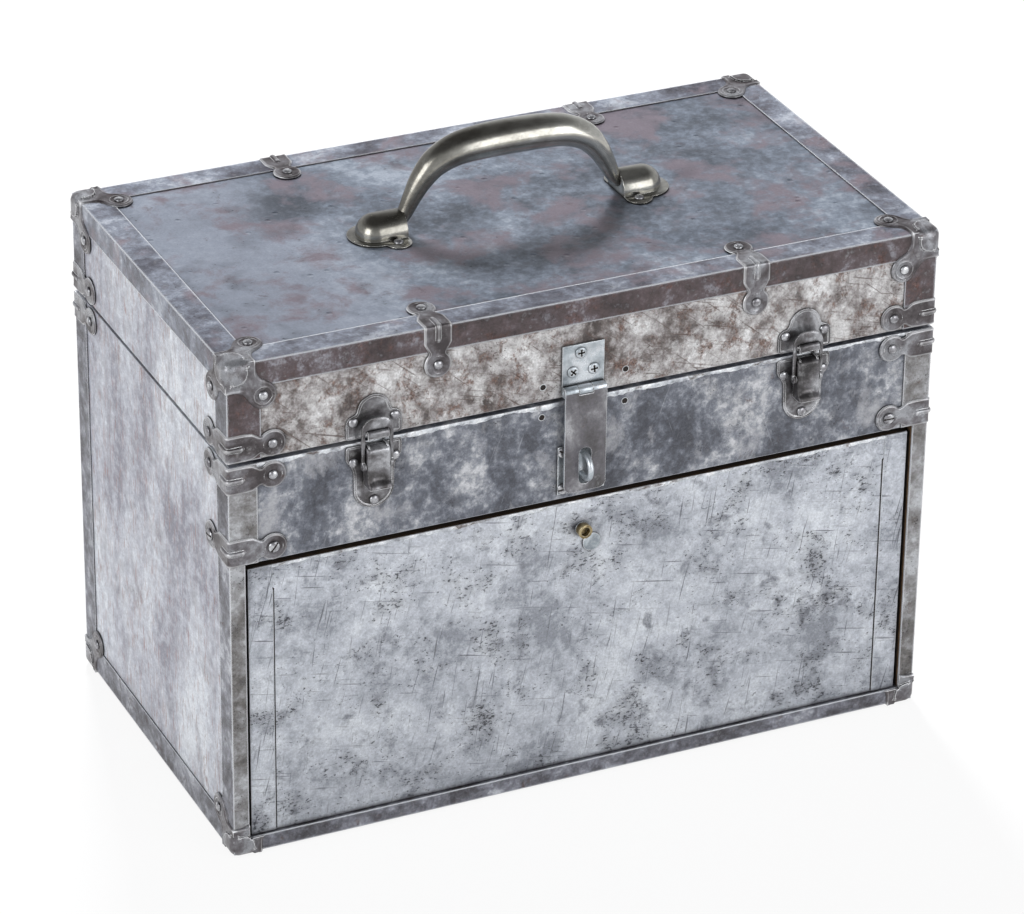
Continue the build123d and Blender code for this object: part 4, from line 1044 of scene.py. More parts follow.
def strike_outline(sizes):
    """A bell over two square ears, from its lower edge at 0 upwards."""
    wide, bell = sizes.plate_wide / 2, sizes.bell_radius
    stem = sizes.strike_tall - bell
    ears = sizes.strike_ear
    points = [(-wide + 1.5, 0), (wide - 1.5, 0), (wide, 1.5)]
    points += arc(wide - 6, ears - 6, 6, 0, 80, 8)
    points += [(bell + 1.3, ears + 0.5), (bell + 0.3, ears + 1.9)]
    points += arc(0, stem, bell, 10, 170, 26)
    points += [(-bell - 0.3, ears + 1.9), (-bell - 1.3, ears + 0.5)]
    points += arc(-wide + 6, ears - 6, 6, 100, 180, 8)
    points += [(-wide, 1.5)]
    return points


def base_outline(sizes):
    """A round foot that widens through two curves to a square top."""
    wide, foot, tall = sizes.plate_wide / 2, sizes.foot_radius, sizes.base_tall
    shoulder = tall - sizes.base_ear
    points = arc(0, foot, foot, 180, 360, 26)
    curve = [(0.2, -10.5), (0.8, -7.2), (2.2, -4.4), (4.0, -2.2), (5.2, 0.4)]
    points += [(foot + out, shoulder + up) for out, up in curve] + [(wide, shoulder + 2.0)]
    points += arc(wide - 2, tall - 2, 2, 0, 90, 4)
    points += arc(-wide + 2, tall - 2, 2, 90, 180, 4)
    points += [(-wide, shoulder + 2.0)] + [(-foot - out, shoulder + up) for out, up in reversed(curve)]
    return points


def band_form(profile, half, ease):
    """A bent strip from its side outline in Y and Z, reaching half a width each way in X."""
    form = bmesh.new()
    back = [form.verts.new((-half, y, z)) for y, z in profile]
    face = form.faces.new(back)
    front = bmesh.ops.extrude_face_region(form, geom=[face])["geom"]
    bmesh.ops.translate(
        form, vec=(2 * half, 0, 0), verts=[v for v in front if isinstance(v, bmesh.types.BMVert)]
    )
    bmesh.ops.recalc_face_normals(form, faces=form.faces)
    ends = [e for f in form.faces if abs(f.normal.x) > FACING for e in f.edges]
    bmesh.ops.bevel(form, geom=ends, offset=ease, segments=2, profile=0.5, affect="EDGES")
    return form


def hook_profile(sizes):
    """Side outline of the tab that stands off the strike and turns down over the loop's bar."""
    out, top = sizes.hook_out, sizes.hook_up
    thick, lip, turn, inner_turn = 1.5, sizes.hook_lip, 2.2, 0.7
    outer = [(0, top)] + arc(-out + turn, top - turn, turn, 90, 180, 3)
    outer += [(-out, top - lip + 0.4), (-out + 0.4, top - lip), (-out + thick, top - lip)]
    inner = arc(-out + turn, top - turn, inner_turn, 180, 90, 3)
    return outer + inner + [(0, top - thick)]


def lever_form(sizes):
    """A pressed lever: a dished front with a rolled border, folded sides and a turned-out foot."""
    half, long, deep = sizes.lever_wide / 2, sizes.lever_long, sizes.lever_deep
    across = [(-half, deep), (-half, 1.6), (-half + 0.25, 0.7), (-half + 0.9, 0.15), (-half + 1.7, 0.0)]
    across += [(-half + 2.4, 0.12), (-half + 3.1, 0.75), (-half + 3.8, 1.0), (-half + 5.5, 1.1)]
    across += [(0.0, 1.15)] + [(-x, d) for x, d in reversed(across)]
    downs = [0.0, 0.15, 0.4, 0.9, 1.6, 2.6, 3.4, 4.2, 5.2, 7.0, 10.0, 14.0, 18.0, 21.0, 23.0]
    downs += [24.2, 25.0, 25.8, 26.6, 27.4, 28.0, long]
    rows = []
    roll, foot = sizes.head_radius + 0.5, 4.5
    for down in downs:
        row = []
        back = roll - sqrt(max(0.0, roll ** 2 - max(0.0, roll - down) ** 2)) if down < roll else 0.0
        flare = sizes.lever_lip * bump(max(0.0, long - down), foot) if down > long - foot else 0.0
        dish = min(1.0, max(0.0, (down - 3.0) / 1.6)) * min(1.0, max(0.0, (long - 4.2 - down) / 1.6))
        for x, d in across:
            edge = abs(abs(x) - half) < 0.01
            face = d if abs(x) > half - 2.0 else d * dish
            y = face + (0.0 if edge and d == deep else back - flare)
            narrow = 1.0 - 0.05 * max(0.0, (down - long * 0.6) / long)
            row.append(Vector((x * narrow, min(y, deep), -down)))
        rows.append(row)
    return grid_form(rows)


def loop_form(sizes):
    """A stamped bail: two arms up from the pivots and a rounded bow over the hook, crowned in section."""
    half, inner = sizes.loop_wide / 2, sizes.lever_wide / 2 + 0.4
    top, bow, soft = sizes.loop_tall, 8.6, 3.0
    outer = [(half, 0.0)] + arc(half - bow, top - bow, bow, 0, 90, 12)
    outer += arc(-half + bow, top - bow, bow, 90, 180, 12) + [(-half, 0.0)]
    window_top = sizes.window_top
    hole = [(inner, 0.0)] + arc(inner - soft, window_top - soft, soft, 0, 90, 12)
    hole += arc(-inner + soft, window_top - soft, soft, 90, 180, 12) + [(-inner, 0.0)]
    section = [(0.0, 0.45), (0.08, 0.12), (0.25, 0.0), (0.5, -0.0), (0.75, 0.0), (0.92, 0.12), (1.0, 0.45)]
    thick = sizes.loop_thick
    rows = []
    for (ox, oz), (ix, iz) in zip(outer, hole):
        ring = [Vector((ox + (ix - ox) * s, -thick / 2 + y, oz + (iz - oz) * s)) for s, y in section]
        ring += [
            Vector((ox + (ix - ox) * s, thick / 2 - y, oz + (iz - oz) * s)) for s, y in reversed(section)
        ]
        rows.append(ring)
    return grid_form(rows, closed_rows=True)


# Torn and rubbed lips along the sheets' edges
def lip_form(x0, x1, y, z, tall, proud, seed):
    """A ragged folded edge from x0 to x1, standing just off the sheet's face."""
    rows = []
    count = int((x1 - x0) / 1.6)
    for k in range(count + 1):
        x = x0 + (x1 - x0) * k / count
        wave = noise.noise(Vector((x * 0.045, seed, 0.3)))
        rough = noise.noise(Vector((x * 0.31, seed, 1.7)))
        drop = tall * (0.62 + 0.45 * wave + 0.28 * rough)
        out = proud * (0.55 + 0.35 * wave + 0.25 * rough)
        drop, out = max(0.5, drop), max(0.12, out)
        rows.append([
            Vector((x, y + 0.3, z - 0.05)), Vector((x, y - out * 0.5, z - 0.05)),
            Vector((x, y - out, z - drop * 0.25)), Vector((x, y - out * 0.8, z - drop * 0.6)),
            Vector((x, y - 0.05, z - drop)), Vector((x, y + 0.3, z - drop)),
        ])
    return grid_form(rows, closed_rows=True)


# Sizes that a user would change
class FittingSizes(bpy.types.PropertyGroup):
    """Stamped clamps and caps, in millimetres"""

    strap_wide: bpy.props.FloatProperty(
        name="Strap width", description="Width of a folded strap", default=19.5
    )
    neck_wide: bpy.props.FloatProperty(
        name="Neck width", description="Width of the neck before the lobe", default=12.6
    )
    neck_back: bpy.props.FloatProperty(
        name="Neck place", description="From the neck to the rivet", default=9.0
    )
    shoulder_back: bpy.props.FloatProperty(
        name="Shoulder place", description="From the shoulder to the rivet", default=15.0
    )
    lobe_radius: bpy.props.FloatProperty(
        name="Lobe radius", description="Round end of a strap or tongue", default=9.5
    )
    ring_radius: bpy.props.FloatProperty(
        name="Ring radius", description="Embossed ring round the rivet", default=6.1
    )
    corner_reach: bpy.props.FloatProperty(
        name="Corner reach", description="From the box edge to the rivet", default=30.5
    )
    edge_reach: bpy.props.FloatProperty(
        name="Edge reach", description="From the lid edge to the rivet", default=27.0
    )
    strap_thick: bpy.props.FloatProperty(name="Gauge", description="Thickness of the stamping", default=1.0)
    rib_long: bpy.props.FloatProperty(
        name="Rib length", description="Rib on each side of the fold", default=11.0
    )
    rib_wide: bpy.props.FloatProperty(name="Rib width", description="Width of the rib", default=3.4)
    rib_high: bpy.props.FloatProperty(name="Rib height", description="Height of the rib", default=1.3)
    cap_square: bpy.props.FloatProperty(
        name="Cap leg", description="From the corner to the cap's edge", default=20.0
    )
    cap_reach: bpy.props.FloatProperty(
        name="Cap reach", description="From the box edges to the cap's rivets", default=24.5
    )
    cap_proud: bpy.props.FloatProperty(
        name="Cap dome", description="How far the domed corner stands out", default=2.2
    )
    cap_round: bpy.props.FloatProperty(
        name="Cap rounding", description="Radius of the domed corner", default=6.5
    )
    cap_dome: bpy.props.FloatProperty(
        name="Dome size", description="From the corner to the foot of the dome", default=14.0
    )
    cap_neck: bpy.props.FloatProperty(
        name="Cap neck", description="Softness of the notch beside the tongue", default=12.0
    )


class LatchSizes(bpy.types.PropertyGroup):
    """Draw latches, in millimetres"""

    plate_wide: bpy.props.FloatProperty(name="Plate width", description="Width of both plates", default=39.0)
    bell_radius: bpy.props.FloatProperty(
        name="Bell radius", description="Round top of the strike", default=11.5
    )
    strike_tall: bpy.props.FloatProperty(
        name="Strike height", description="Height of the upper plate", default=30.0
    )
    strike_ear: bpy.props.FloatProperty(
        name="Strike ears", description="Height of the riveted ears", default=17.0
    )
    base_tall: bpy.props.FloatProperty(
        name="Base height", description="Height of the lower plate", default=46.5
    )
    base_ear: bpy.props.FloatProperty(
        name="Base ears", description="Height of the square upper part", default=10.0
    )
    foot_radius: bpy.props.FloatProperty(
        name="Foot radius", description="Round foot of the lower plate", default=14.0
    )
    hook_out: bpy.props.FloatProperty(
        name="Hook reach", description="How far the hook stands out", default=9.2
    )
    hook_up: bpy.props.FloatProperty(
        name="Hook level", description="Top of the hook over the lid's edge", default=7.4
    )
    hook_lip: bpy.props.FloatProperty(
        name="Hook lip", description="Height of the turned-down lip", default=5.4
    )
    hook_wide: bpy.props.FloatProperty(name="Hook width", description="Width of the hook", default=15.0)
    lever_wide: bpy.props.FloatProperty(name="Lever width", description="Width of the lever", default=16.4)
    lever_long: bpy.props.FloatProperty(name="Lever length", description="Length of the lever", default=28.5)
    lever_deep: bpy.props.FloatProperty(
        name="Lever depth", description="Depth of its folded sides", default=7.2
    )
    lever_lip: bpy.props.FloatProperty(
        name="Lever lip", description="How far its foot turns out", default=3.4
    )
    head_radius: bpy.props.FloatProperty(
        name="Head radius", description="Roll at the lever's head", default=3.2
    )
    loop_wide: bpy.props.FloatProperty(name="Loop width", description="Width of the bail", default=22.0)
    loop_thick: bpy.props.FloatProperty(name="Loop gauge", description="Thickness of the bail", default=2.0)
    loop_tall: bpy.props.FloatProperty(
        name="Loop height", description="From its pivot to its top", default=33.4
    )
    window_top: bpy.props.FloatProperty(
        name="Window height", description="From its pivot to its bar", default=25.6
    )


class GripSizes(bpy.types.PropertyGroup):
    """Carrying handle, in millimetres"""

    span: bpy.props.FloatProperty(name="Span", description="Between the sockets' mouths", default=158.0)
    rise: bpy.props.FloatProperty(
        name="Rise", description="From its axis to the middle of the grip", default=46.0
    )
    middle: bpy.props.FloatProperty(
        name="Middle radius", description="Thickest part of the grip", default=12.0
    )
    end: bpy.props.FloatProperty(name="End radius", description="Radius at the sockets", default=5.0)
    stub: bpy.props.FloatProperty(name="Stub radius", description="Pin that turns in the socket", default=4.0)
    stub_long: bpy.props.FloatProperty(name="Stub length", description="Length of that pin", default=12.0)


class StageColours(bpy.types.PropertyGroup):
    """Floor and background"""

    floor: bpy.props.FloatVectorProperty(
        name="Floor", description="Pale studio floor", subtype="COLOR", size=4, default=linear("#F4F4F4"),
        min=0, max=1
    )


class TOOLCHEST_OT_sheets(bpy.types.Operator):
    """Gives the boards, sheets and trims their finishes"""

    bl_idname = "toolchest.sheets"
    bl_label = "Sheets and trims"

    def execute(self, context):
        finishes = {
            "body_cladding": "side_sheet", "till_front_cladding": "till_sheet",
            "lid_top_cladding": "top_sheet",
            "bottom_front_trim": "trim_steel", "bottom_rear_trim": "trim_steel",
            "bottom_side_trims": "trim_steel", "front_corner_trims": "trim_steel",
            "rear_corner_trims": "trim_steel", "lid_long_trims": "lid_trim_steel",
            "lid_end_trims": "lid_trim_steel", "lid_corner_trims": "trim_steel",
            "drawer_runners": "strap_steel",
            "lock_case": "strap_steel",
        }
        for node, name in finishes.items():
            NODES[node].data.materials.clear()
            NODES[node].data.materials.append(finish(name))
        for node, piece in NODES.items():
            if SLOT_OF[node] == "plywood":
                piece.data.materials.clear()
                piece.data.materials.append(finish("birch_ply"))
        fronts = {
            "front_corner_trims": "post_steel", "lid_corner_trims": "brown_trim_steel",
            "lid_long_trims": "brown_trim_steel", "lid_end_trims": "brown_trim_steel",
        }
        for node, name in fronts.items():
            mesh = NODES[node].data
            mesh.materials.append(finish(name))
            for polygon in mesh.polygons:
                polygon.material_index = 1 if polygon.normal.y < -FACING else 0
        # The band's back faces take the darker back sheet, painted shade against the rear lamp
        band = NODES["lid_band_cladding"].data
        band.materials.clear()
        for name in ("band_sheet", "side_sheet", "shaded_back_sheet"):
            band.materials.append(finish(name))
        for polygon in band.polygons:
            side = 2 if polygon.normal.y > FACING else 1
            polygon.material_index = 0 if polygon.center.y < (SHEET_FRONT + 1) * MM else side
        # The body's back faces take the same darker sheet, painted shade against the rear lamp
        walls = NODES["body_cladding"].data
        walls.materials.append(finish("shaded_back_sheet"))
        for polygon in walls.polygons:
            polygon.material_index = 1 if polygon.normal.y > FACING else 0
        return {"FINISHED"}


class TOOLCHEST_OT_lips(bpy.types.Operator):
    """Lays the bent, rubbed lips along the till front's and the panel's upper edges"""

    bl_idname = "toolchest.lips"
    bl_label = "Torn sheet edges"

    def execute(self, context):
        inner = HALF_W - 20
        till = [lip_form(-inner, inner, SHEET_FRONT, RIM, tall=4.4, proud=1.1, seed=3.1)]
        new_piece(
            "till_front_lip", "chest", joined(till, "till_front_lip"), finish("bright_lip")
        )
        edge = PANEL_HIGH.x - 2
        panel_face = PANEL_LOW.y + 0.5
        top = [lip_form(-edge, edge, panel_face, PANEL_HIGH.z, tall=3.2, proud=0.8, seed=8.4)]
        new_piece(
            "front_panel_lip", "panel", joined(top, "front_panel_lip"),
            finish("bright_lip")
        )
        side, low, high = PANEL_HIGH.x - 0.4, PANEL_LOW.z + 0.8, PANEL_HIGH.z - 1.6
        # A dark strip a little wider than each hem shows past its inner edge as a line of painted shade
        hem, shadow_reach = 17.0, 0.9
        hems, hem_shadows = [], []
        for sign in (-1, 1):
            for forms, wide, top, foot, thick, ease in (
                (hems, hem, high, high - hem, 0.48, 0.12),
                (hem_shadows, hem + shadow_reach, high + 1.3, high - hem + 0.7, 0.1, 0.03),
            ):
                corners = [(side, low), (side - wide, low), (side - wide, foot), (side, top)]
                strip = slab([(sign * x, z) for x, z in corners], thick, ease)
                forms.append(moved(strip, at(0, panel_face, 0)))
        new_piece("front_panel_hems", "panel", joined(hems, "hems"), finish("hem_sheet"))
        new_piece(
            "front_panel_seams", "panel", joined(hem_shadows, "hem_shadows"), finish("hole_shadow")
        )
        return {"FINISHED"}


class TOOLCHEST_OT_fittings(bpy.types.Operator):
    """Stamps the clamps and the domed caps on the edges and corners"""

    bl_idname = "toolchest.fittings"
    bl_label = "Clamps and caps"

    def execute(self, context):
        sizes = context.scene.toolchest_fittings
        corner = strap_form(sizes, sizes.corner_reach)
        half = sizes.strap_wide / 2
        groups = {
            "body_upper_clamps": ("chest", corner_matrices(RIM - half)),
            "body_lower_clamps": (
                "chest", [m for m in corner_matrices(TILL_LOW.z + half) if m.translation.y < CASE_MIDDLE]
            ),
            "lid_corner_clamps": ("lid", corner_matrices(LID_LOW + half)),
        }
        for node, (body, places) in groups.items():
            mesh = joined([moved(corner, place) for place in places], node + "_stamped")
            new_piece(node + "_stamped", body, mesh, finish("stamped_steel"), [node])
        corner.free()
        over = strap_form(sizes, sizes.edge_reach)
        xs = sorted(
            {round(sum(p.x for p in points) / len(points), 1) for points in islands("lid_edge_clamps")}
        )
        places = []
        for x in (xs[0], xs[-1]):
            places.append(at(x, FRONT, LID_TOP) @ turned(-90, "Y"))
            places.append(at(x, BACK, LID_TOP) @ turned(180, "Z") @ turned(-90, "Y"))
        mesh = joined([moved(over, place) for place in places], "lid_edge_clamps_stamped")
        new_piece(
            "lid_edge_clamps_stamped", "lid", mesh, finish("stamped_steel"),
            ["lid_edge_clamps"]
        )
        over.free()
        cap = cap_form(sizes)
        upper = corner_matrices(LID_TOP)
        lower = [m @ turned(90, "Y") for m in corner_matrices(FLOOR)]
        for node, body, places in (("lid_corner_caps", "lid", upper), ("bottom_corner_caps", "chest", lower)):
            whole = bmesh.new()
            for place in places:
                copy = moved(cap, place)
                if node == "bottom_corner_caps" and place.translation.y < CASE_MIDDLE:
                    cleared_for_panel(copy)
                mesh = bpy.data.meshes.new("one_cap")
                copy.to_mesh(mesh)
                copy.free()
                whole.from_mesh(mesh)
                bpy.data.meshes.remove(mesh)
            bmesh.ops.scale(whole, vec=(MM, MM, MM), verts=whole.verts)
            mesh = bpy.data.meshes.new(node + "_domed")
            whole.to_mesh(mesh)
            whole.free()
            new_piece(node + "_domed", body, mesh, finish("stamped_steel"), [node])
        cap.free()
        return {"FINISHED"}


class TOOLCHEST_OT_fasteners(bpy.types.Operator):
    """Sets the rivets and screws on their seats"""

    bl_idname = "toolchest.fasteners"
    bl_label = "Rivets and screws"

    def execute(self, context):
        rivet = rivet_head()
        slotted = screw_head([(0, 9.0)])
        crossed = screw_head([(0, 5.2), (90, 5.2)])
        kinds = {
            "body_rivets": (rivet, "rivet_steel"), "lid_rivets": (rivet, "rivet_steel"),
            "body_screws": (slotted, "rivet_steel"), "hasp_screws": (crossed, "zinc_plate"),
        }
        for node, (head, name) in kinds.items():
            mesh = heads_on_seats(node + "_heads", seats(node), head, finish(name))
            new_piece(node + "_heads", BODY_OF[node], mesh, finish(name), [node], 45)
        # The dark floors in the screws' slots are painted shade
        slot_shades = {
            "body_screws": slot_shade_form([(0, 7.3, 1.15)]),
            "hasp_screws": slot_shade_form([(0, 5.0, 1.5), (90, 5.0, 1.5)]),
        }
        for node, slot_shade in slot_shades.items():
            mesh = heads_on_seats(node + "_recesses", seats(node), slot_shade, finish("hole_shadow"))
            new_piece(node + "_recesses", BODY_OF[node], mesh, finish("hole_shadow"))
        return {"FINISHED"}


class TOOLCHEST_OT_latches(bpy.types.Operator):
    """Presses the two draw latches: strikes, base plates, levers and loops"""

    bl_idname = "toolchest.latches"
    bl_label = "Draw latches"

    def execute(self, context):
        sizes = context.scene.toolchest_latches
        steel = finish("latch_steel")
        gauge, ease, sink = 1.2, 0.3, 0.4
        strikes, bases = [], []
        for side in ("left", "right"):
            loop_low, loop_high = low_high("latch_loop_" + side)
            lever_low, lever_high = low_high("latch_lever_" + side)
            x, y = (loop_low.x + loop_high.x) / 2, (loop_low.y + loop_high.y) / 2
            here = at(x, SHEET_FRONT, LID_LOW)
            strikes.append(moved(slab(strike_outline(sizes), gauge, ease, 1.3, sink), here))
            strikes.append(moved(band_form(hook_profile(sizes), sizes.hook_wide / 2, 0.25), here))
            base_low = RIM - 2.0 - sizes.base_tall
            bases.append(
                moved(slab(base_outline(sizes), gauge, ease, 1.2, sink), at(x, SHEET_FRONT, base_low))
            )
            for sign in (-1, 1):
                ear = slab(arc(0, 0, 2.4, 0, 180, 8) + [(-2.4, -7.0), (2.4, -7.0)], gauge, 0.2)
                stands = at(x + sign * 6.4 + gauge / 2, y, lever_high.z - 1.0) @ EAR_TURNED
                bases.append(moved(ear, stands))
            front = lever_low.y + sizes.lever_lip
            lever = moved(lever_form(sizes), at(x, front, lever_high.z))
            node = "latch_lever_" + side
            new_piece(
                node + "_pressed", side + "_lever", joined([lever], node), steel, [node], 50
            )
            pivot = loop_high.z - sizes.loop_tall
            forms = [moved(loop_form(sizes), at(x, y, pivot))]
            for sign in (-1, 1):
                boss = revolved([(0, 0), (3.0, 0), (3.0, 1.9), (2.6, 2.3), (0, 2.3)], 20)
                middle = sizes.lever_wide / 2 + 0.4
                forms.append(moved(boss, at(x + sign * middle, y, pivot) @ turned(90 * sign, "Y")))
            node = "latch_loop_" + side
            new_piece(
                node + "_stamped", side + "_loop", joined(forms, node), steel, [node], 50
            )
        new_piece(
            "latch_strikes_pressed", "lid", joined(strikes, "strikes"), steel,
            ["latch_strike_plates"]
        )
        new_piece(
            "latch_bases_pressed", "chest", joined(bases, "bases"), steel,
            ["latch_base_plates"]
        )
        return {"FINISHED"}


class TOOLCHEST_OT_handle(bpy.types.Operator):
    """Draws the arched grip through its stations and smooths its two riveted sockets"""

    bl_idname = "toolchest.handle"
    bl_label = "Carrying handle"

    def execute(self, context):
        sizes = context.scene.toolchest_grip
        low, high = low_high("handle_grip")
        centre_x, centre_y = (low.x + high.x) / 2, (low.y + high.y) / 2
        axis_z = high.z - sizes.middle - sizes.rise
        arch = [
            (1.0, 0.0, 0.0), (0.955, 0.12, 0.06), (0.9, 0.31, 0.2), (0.815, 0.56, 0.42),
            (0.69, 0.79, 0.66), (0.5, 0.94, 0.86), (0.27, 0.99, 0.97), (0.0, 1.0, 1.0),
        ]
        half = sizes.span / 2
        stations = [(-x * half, z * sizes.rise, s) for x, z, s in arch]
        stations += [(-x, z, s) for x, z, s in reversed(stations[:-1])]
        points = smooth_through(stations, 6)
        around = [2 * pi * k / 32 for k in range(32)]
        rows = [
            [Vector((x, sizes.stub * cos(angle), sizes.stub * sin(angle))) for angle in around]
            for x in (-half - sizes.stub_long, -half - 0.6)
        ]
        for index, (x, z, swell) in enumerate(points):
            before = points[max(0, index - 1)]
            after = points[min(len(points) - 1, index + 1)]
            along = Vector((after[0] - before[0], 0, after[1] - before[1])).normalized()
            if index in (0, len(points) - 1):
                along = Vector((1, 0, 0))
            up = Vector((-along.z, 0, along.x))
            radius = sizes.end + (sizes.middle - sizes.end) * swell
            rows.append([
                Vector((x, radius * cos(angle), z)) + up * radius * sin(angle) for angle in around
            ])
        for row in (rows[1], rows[0]):
            rows.append([Vector((-p.x, p.y, p.z)) for p in row])
        grip = moved(grid_form(rows, closed_rows=True), at(centre_x, centre_y, axis_z))
        new_piece(
            "handle_grip_smooth", "handle", joined([grip], "grip"),
            finish("nickel_plate"), ["handle_grip"], 60
        )
        mesh = rounded_copy("handle_sockets", 0.35)
        new_piece(
            "handle_sockets_domed", "lid", mesh, finish("nickel_plate"),
            ["handle_sockets"], 35
        )
        return {"FINISHED"}


def smooth_through(stations, between):
    """Points on a smooth curve through the stations."""
    found = []
    last = len(stations) - 1
    for index in range(last):
        a, b = stations[max(0, index - 1)], stations[index]
        c, d = stations[index + 1], stations[min(last, index + 2)]
        for step in range(between):
            t = step / between
            found.append(tuple(
                0.5 * (2 * b[k] + (c[k] - a[k]) * t + (2 * a[k] - 5 * b[k] + 4 * c[k] - d[k]) * t * t
                       + (3 * b[k] - a[k] - 3 * c[k] + d[k]) * t ** 3)
                for k in range(3)
            ))
    found.append(tuple(stations[-1]))
    return found


class TOOLCHEST_OT_hardware(bpy.types.Operator):
    """Smooths the hasp, the hinges, the stud, the cover, the pins and the pulls, and finishes them"""

    bl_idname = "toolchest.hardware"
    bl_label = "Hasp, hinges and stud"

    def execute(self, context):
        pieces = {
            "hasp_leaf": ("zinc_plate", 0.25), "hasp_strap": ("strap_steel", 0.3),
            "hasp_staple": ("zinc_plate", 0.2),
            "hasp_pin": ("zinc_plate", 0.2), "hinge_body_leaves": ("latch_steel", 0.2),
            "hinge_lid_leaves": ("latch_steel", 0.2), "hinge_pins": ("rivet_steel", 0.2),
            "latch_pivot_pins": ("rivet_steel", 0.15), "lock_stud": ("aged_brass", 0.3),
            "keyhole_cover": ("zinc_plate", 0.15), "front_panel_sheet": ("panel_sheet", 0.2),
            "bottom_drawer": ("drawer_enamel", 0.2), "middle_drawer": ("drawer_enamel", 0.2),
            "top_drawer": ("drawer_enamel", 0.2), "bottom_drawer_pulls": ("aged_brass", 0.5),
            "middle_drawer_pulls": ("aged_brass", 0.5), "top_drawer_pulls": ("aged_brass", 0.5),
        }
        knuckle_tall = 8.6
        for node, (name, ease) in pieces.items():
            mesh = rounded_copy(node, ease)
            new_piece(node + "_eased", BODY_OF[node], mesh, finish(name), [node], 35)
            if node == "hasp_strap":
                mesh.materials.append(finish("zinc_plate"))
                knuckles = (low_high(node)[1].z - knuckle_tall) * MM
                for polygon in mesh.polygons:
                    polygon.material_index = 1 if polygon.center.z > knuckles else 0
        return {"FINISHED"}


class TOOLCHEST_OT_marks(bpy.types.Operator):
    """Marks the four empty screw holes of an older lock and the two nail dimples in the panel"""

    bl_idname = "toolchest.marks"
    bl_label = "Old holes and dimples"

    def execute(self, context):
        holes = {
            "lid": [(-34.0, 302.4), (25.4, 304.0)],
            "chest": [(-34.5, 280.5), (25.3, 280.7)],
        }
        for body, spots in holes.items():
            rims, pits = [], []
            for x, z in spots:
                rim = revolved(
                    [(1.95, 0.0), (2.1, 0.1), (2.3, 0.1), (2.5, 0.0), (2.2, -0.05), (1.95, 0.0)], 24
                )
                # Each pit is a flat disc in the dark material, painted shade for the hole's depth
                pit = revolved([(0, 0.03), (2.1, 0.05), (2.1, -0.05), (0, -0.05)], 24)
                place = at(x, SHEET_FRONT, z + FLOOR) @ turned(90, "X")
                rims.append(moved(rim, place))
                pits.append(moved(pit, place))
            made = {"hole_rims_" + body: (rims, "zinc_plate"), "hole_pits_" + body: (pits, "hole_shadow")}
            for name, (forms, coat) in made.items():
                new_piece(name, body, joined(forms, name), finish(coat))
        dimples = []
        for x, z in ((-112.0, 107.0), (98.0, 108.7)):
            pit = revolved([
                (2.4, -0.05), (2.4, 0.04), (2.7, 0.16), (3.1, 0.16), (3.5, 0.02), (3.5, -0.05), (2.4, -0.05)
            ], 32)
            dimples.append(moved(pit, at(x, PANEL_LOW.y + 0.5, z + FLOOR) @ turned(90, "X")))
        mesh = joined(dimples, "panel_dimples")
        new_piece("panel_dimples", "panel", mesh, finish("panel_sheet"))
        return {"FINISHED"}


class TOOLCHEST_OT_stage(bpy.types.Operator):
    """Lays the floor, the soft lights and the camera"""

    bl_idname = "toolchest.stage"
    bl_label = "Studio"

    def execute(self, context):
        scene = context.scene
        scene.view_settings.view_transform = "Standard"
        add_floor(scene)
        add_lights(scene)
        add_camera(scene)
        return {"FINISHED"}


def add_floor(scene):
    """A pale floor that the camera and mirrors see nearly white, but for the shadow on it."""
    form = bmesh.new()
    bmesh.ops.create_grid(form, x_segments=8, y_segments=8, size=6.0)
    mesh = bpy.data.meshes.new("studio_floor")
    form.to_mesh(mesh)
    form.free()
    floor = bpy.data.objects.new("studio_floor", mesh)
    scene.collection.objects.link(floor)
    material, tree = bare_material("pale_floor")
    matt = add(tree, "ShaderNodeBsdfPrincipled", {
        "Base Color": tuple(scene.toolchest_stage.floor), "Roughness": 0.9, "Specular IOR Level": 0.1,
    })
    shadowed = add(tree, "ShaderNodeBsdfDiffuse", {"Color": "#FFFFFF"})
    bright = add(tree, "ShaderNodeEmission", {"Color": "#FFFFFF", "Strength": 1.0})
    white = add(tree, "ShaderNodeMixShader", {0: 0.9, 1: shadowed.outputs[0], 2: bright.outputs[0]})
    rays = add(tree, "ShaderNodeLightPath")
    seen = add(tree, "ShaderNodeMath", {
        0: rays.outputs["Is Camera Ray"], 1: rays.outputs["Is Glossy Ray"],
    }, operation="MAXIMUM")
    both = add(tree, "ShaderNodeMixShader", {0: seen.outputs[0], 1: matt.outputs[0], 2: white.outputs[0]})
    add(tree, "ShaderNodeOutputMaterial", {"Surface": both.outputs[0]})
    mesh.materials.append(material)


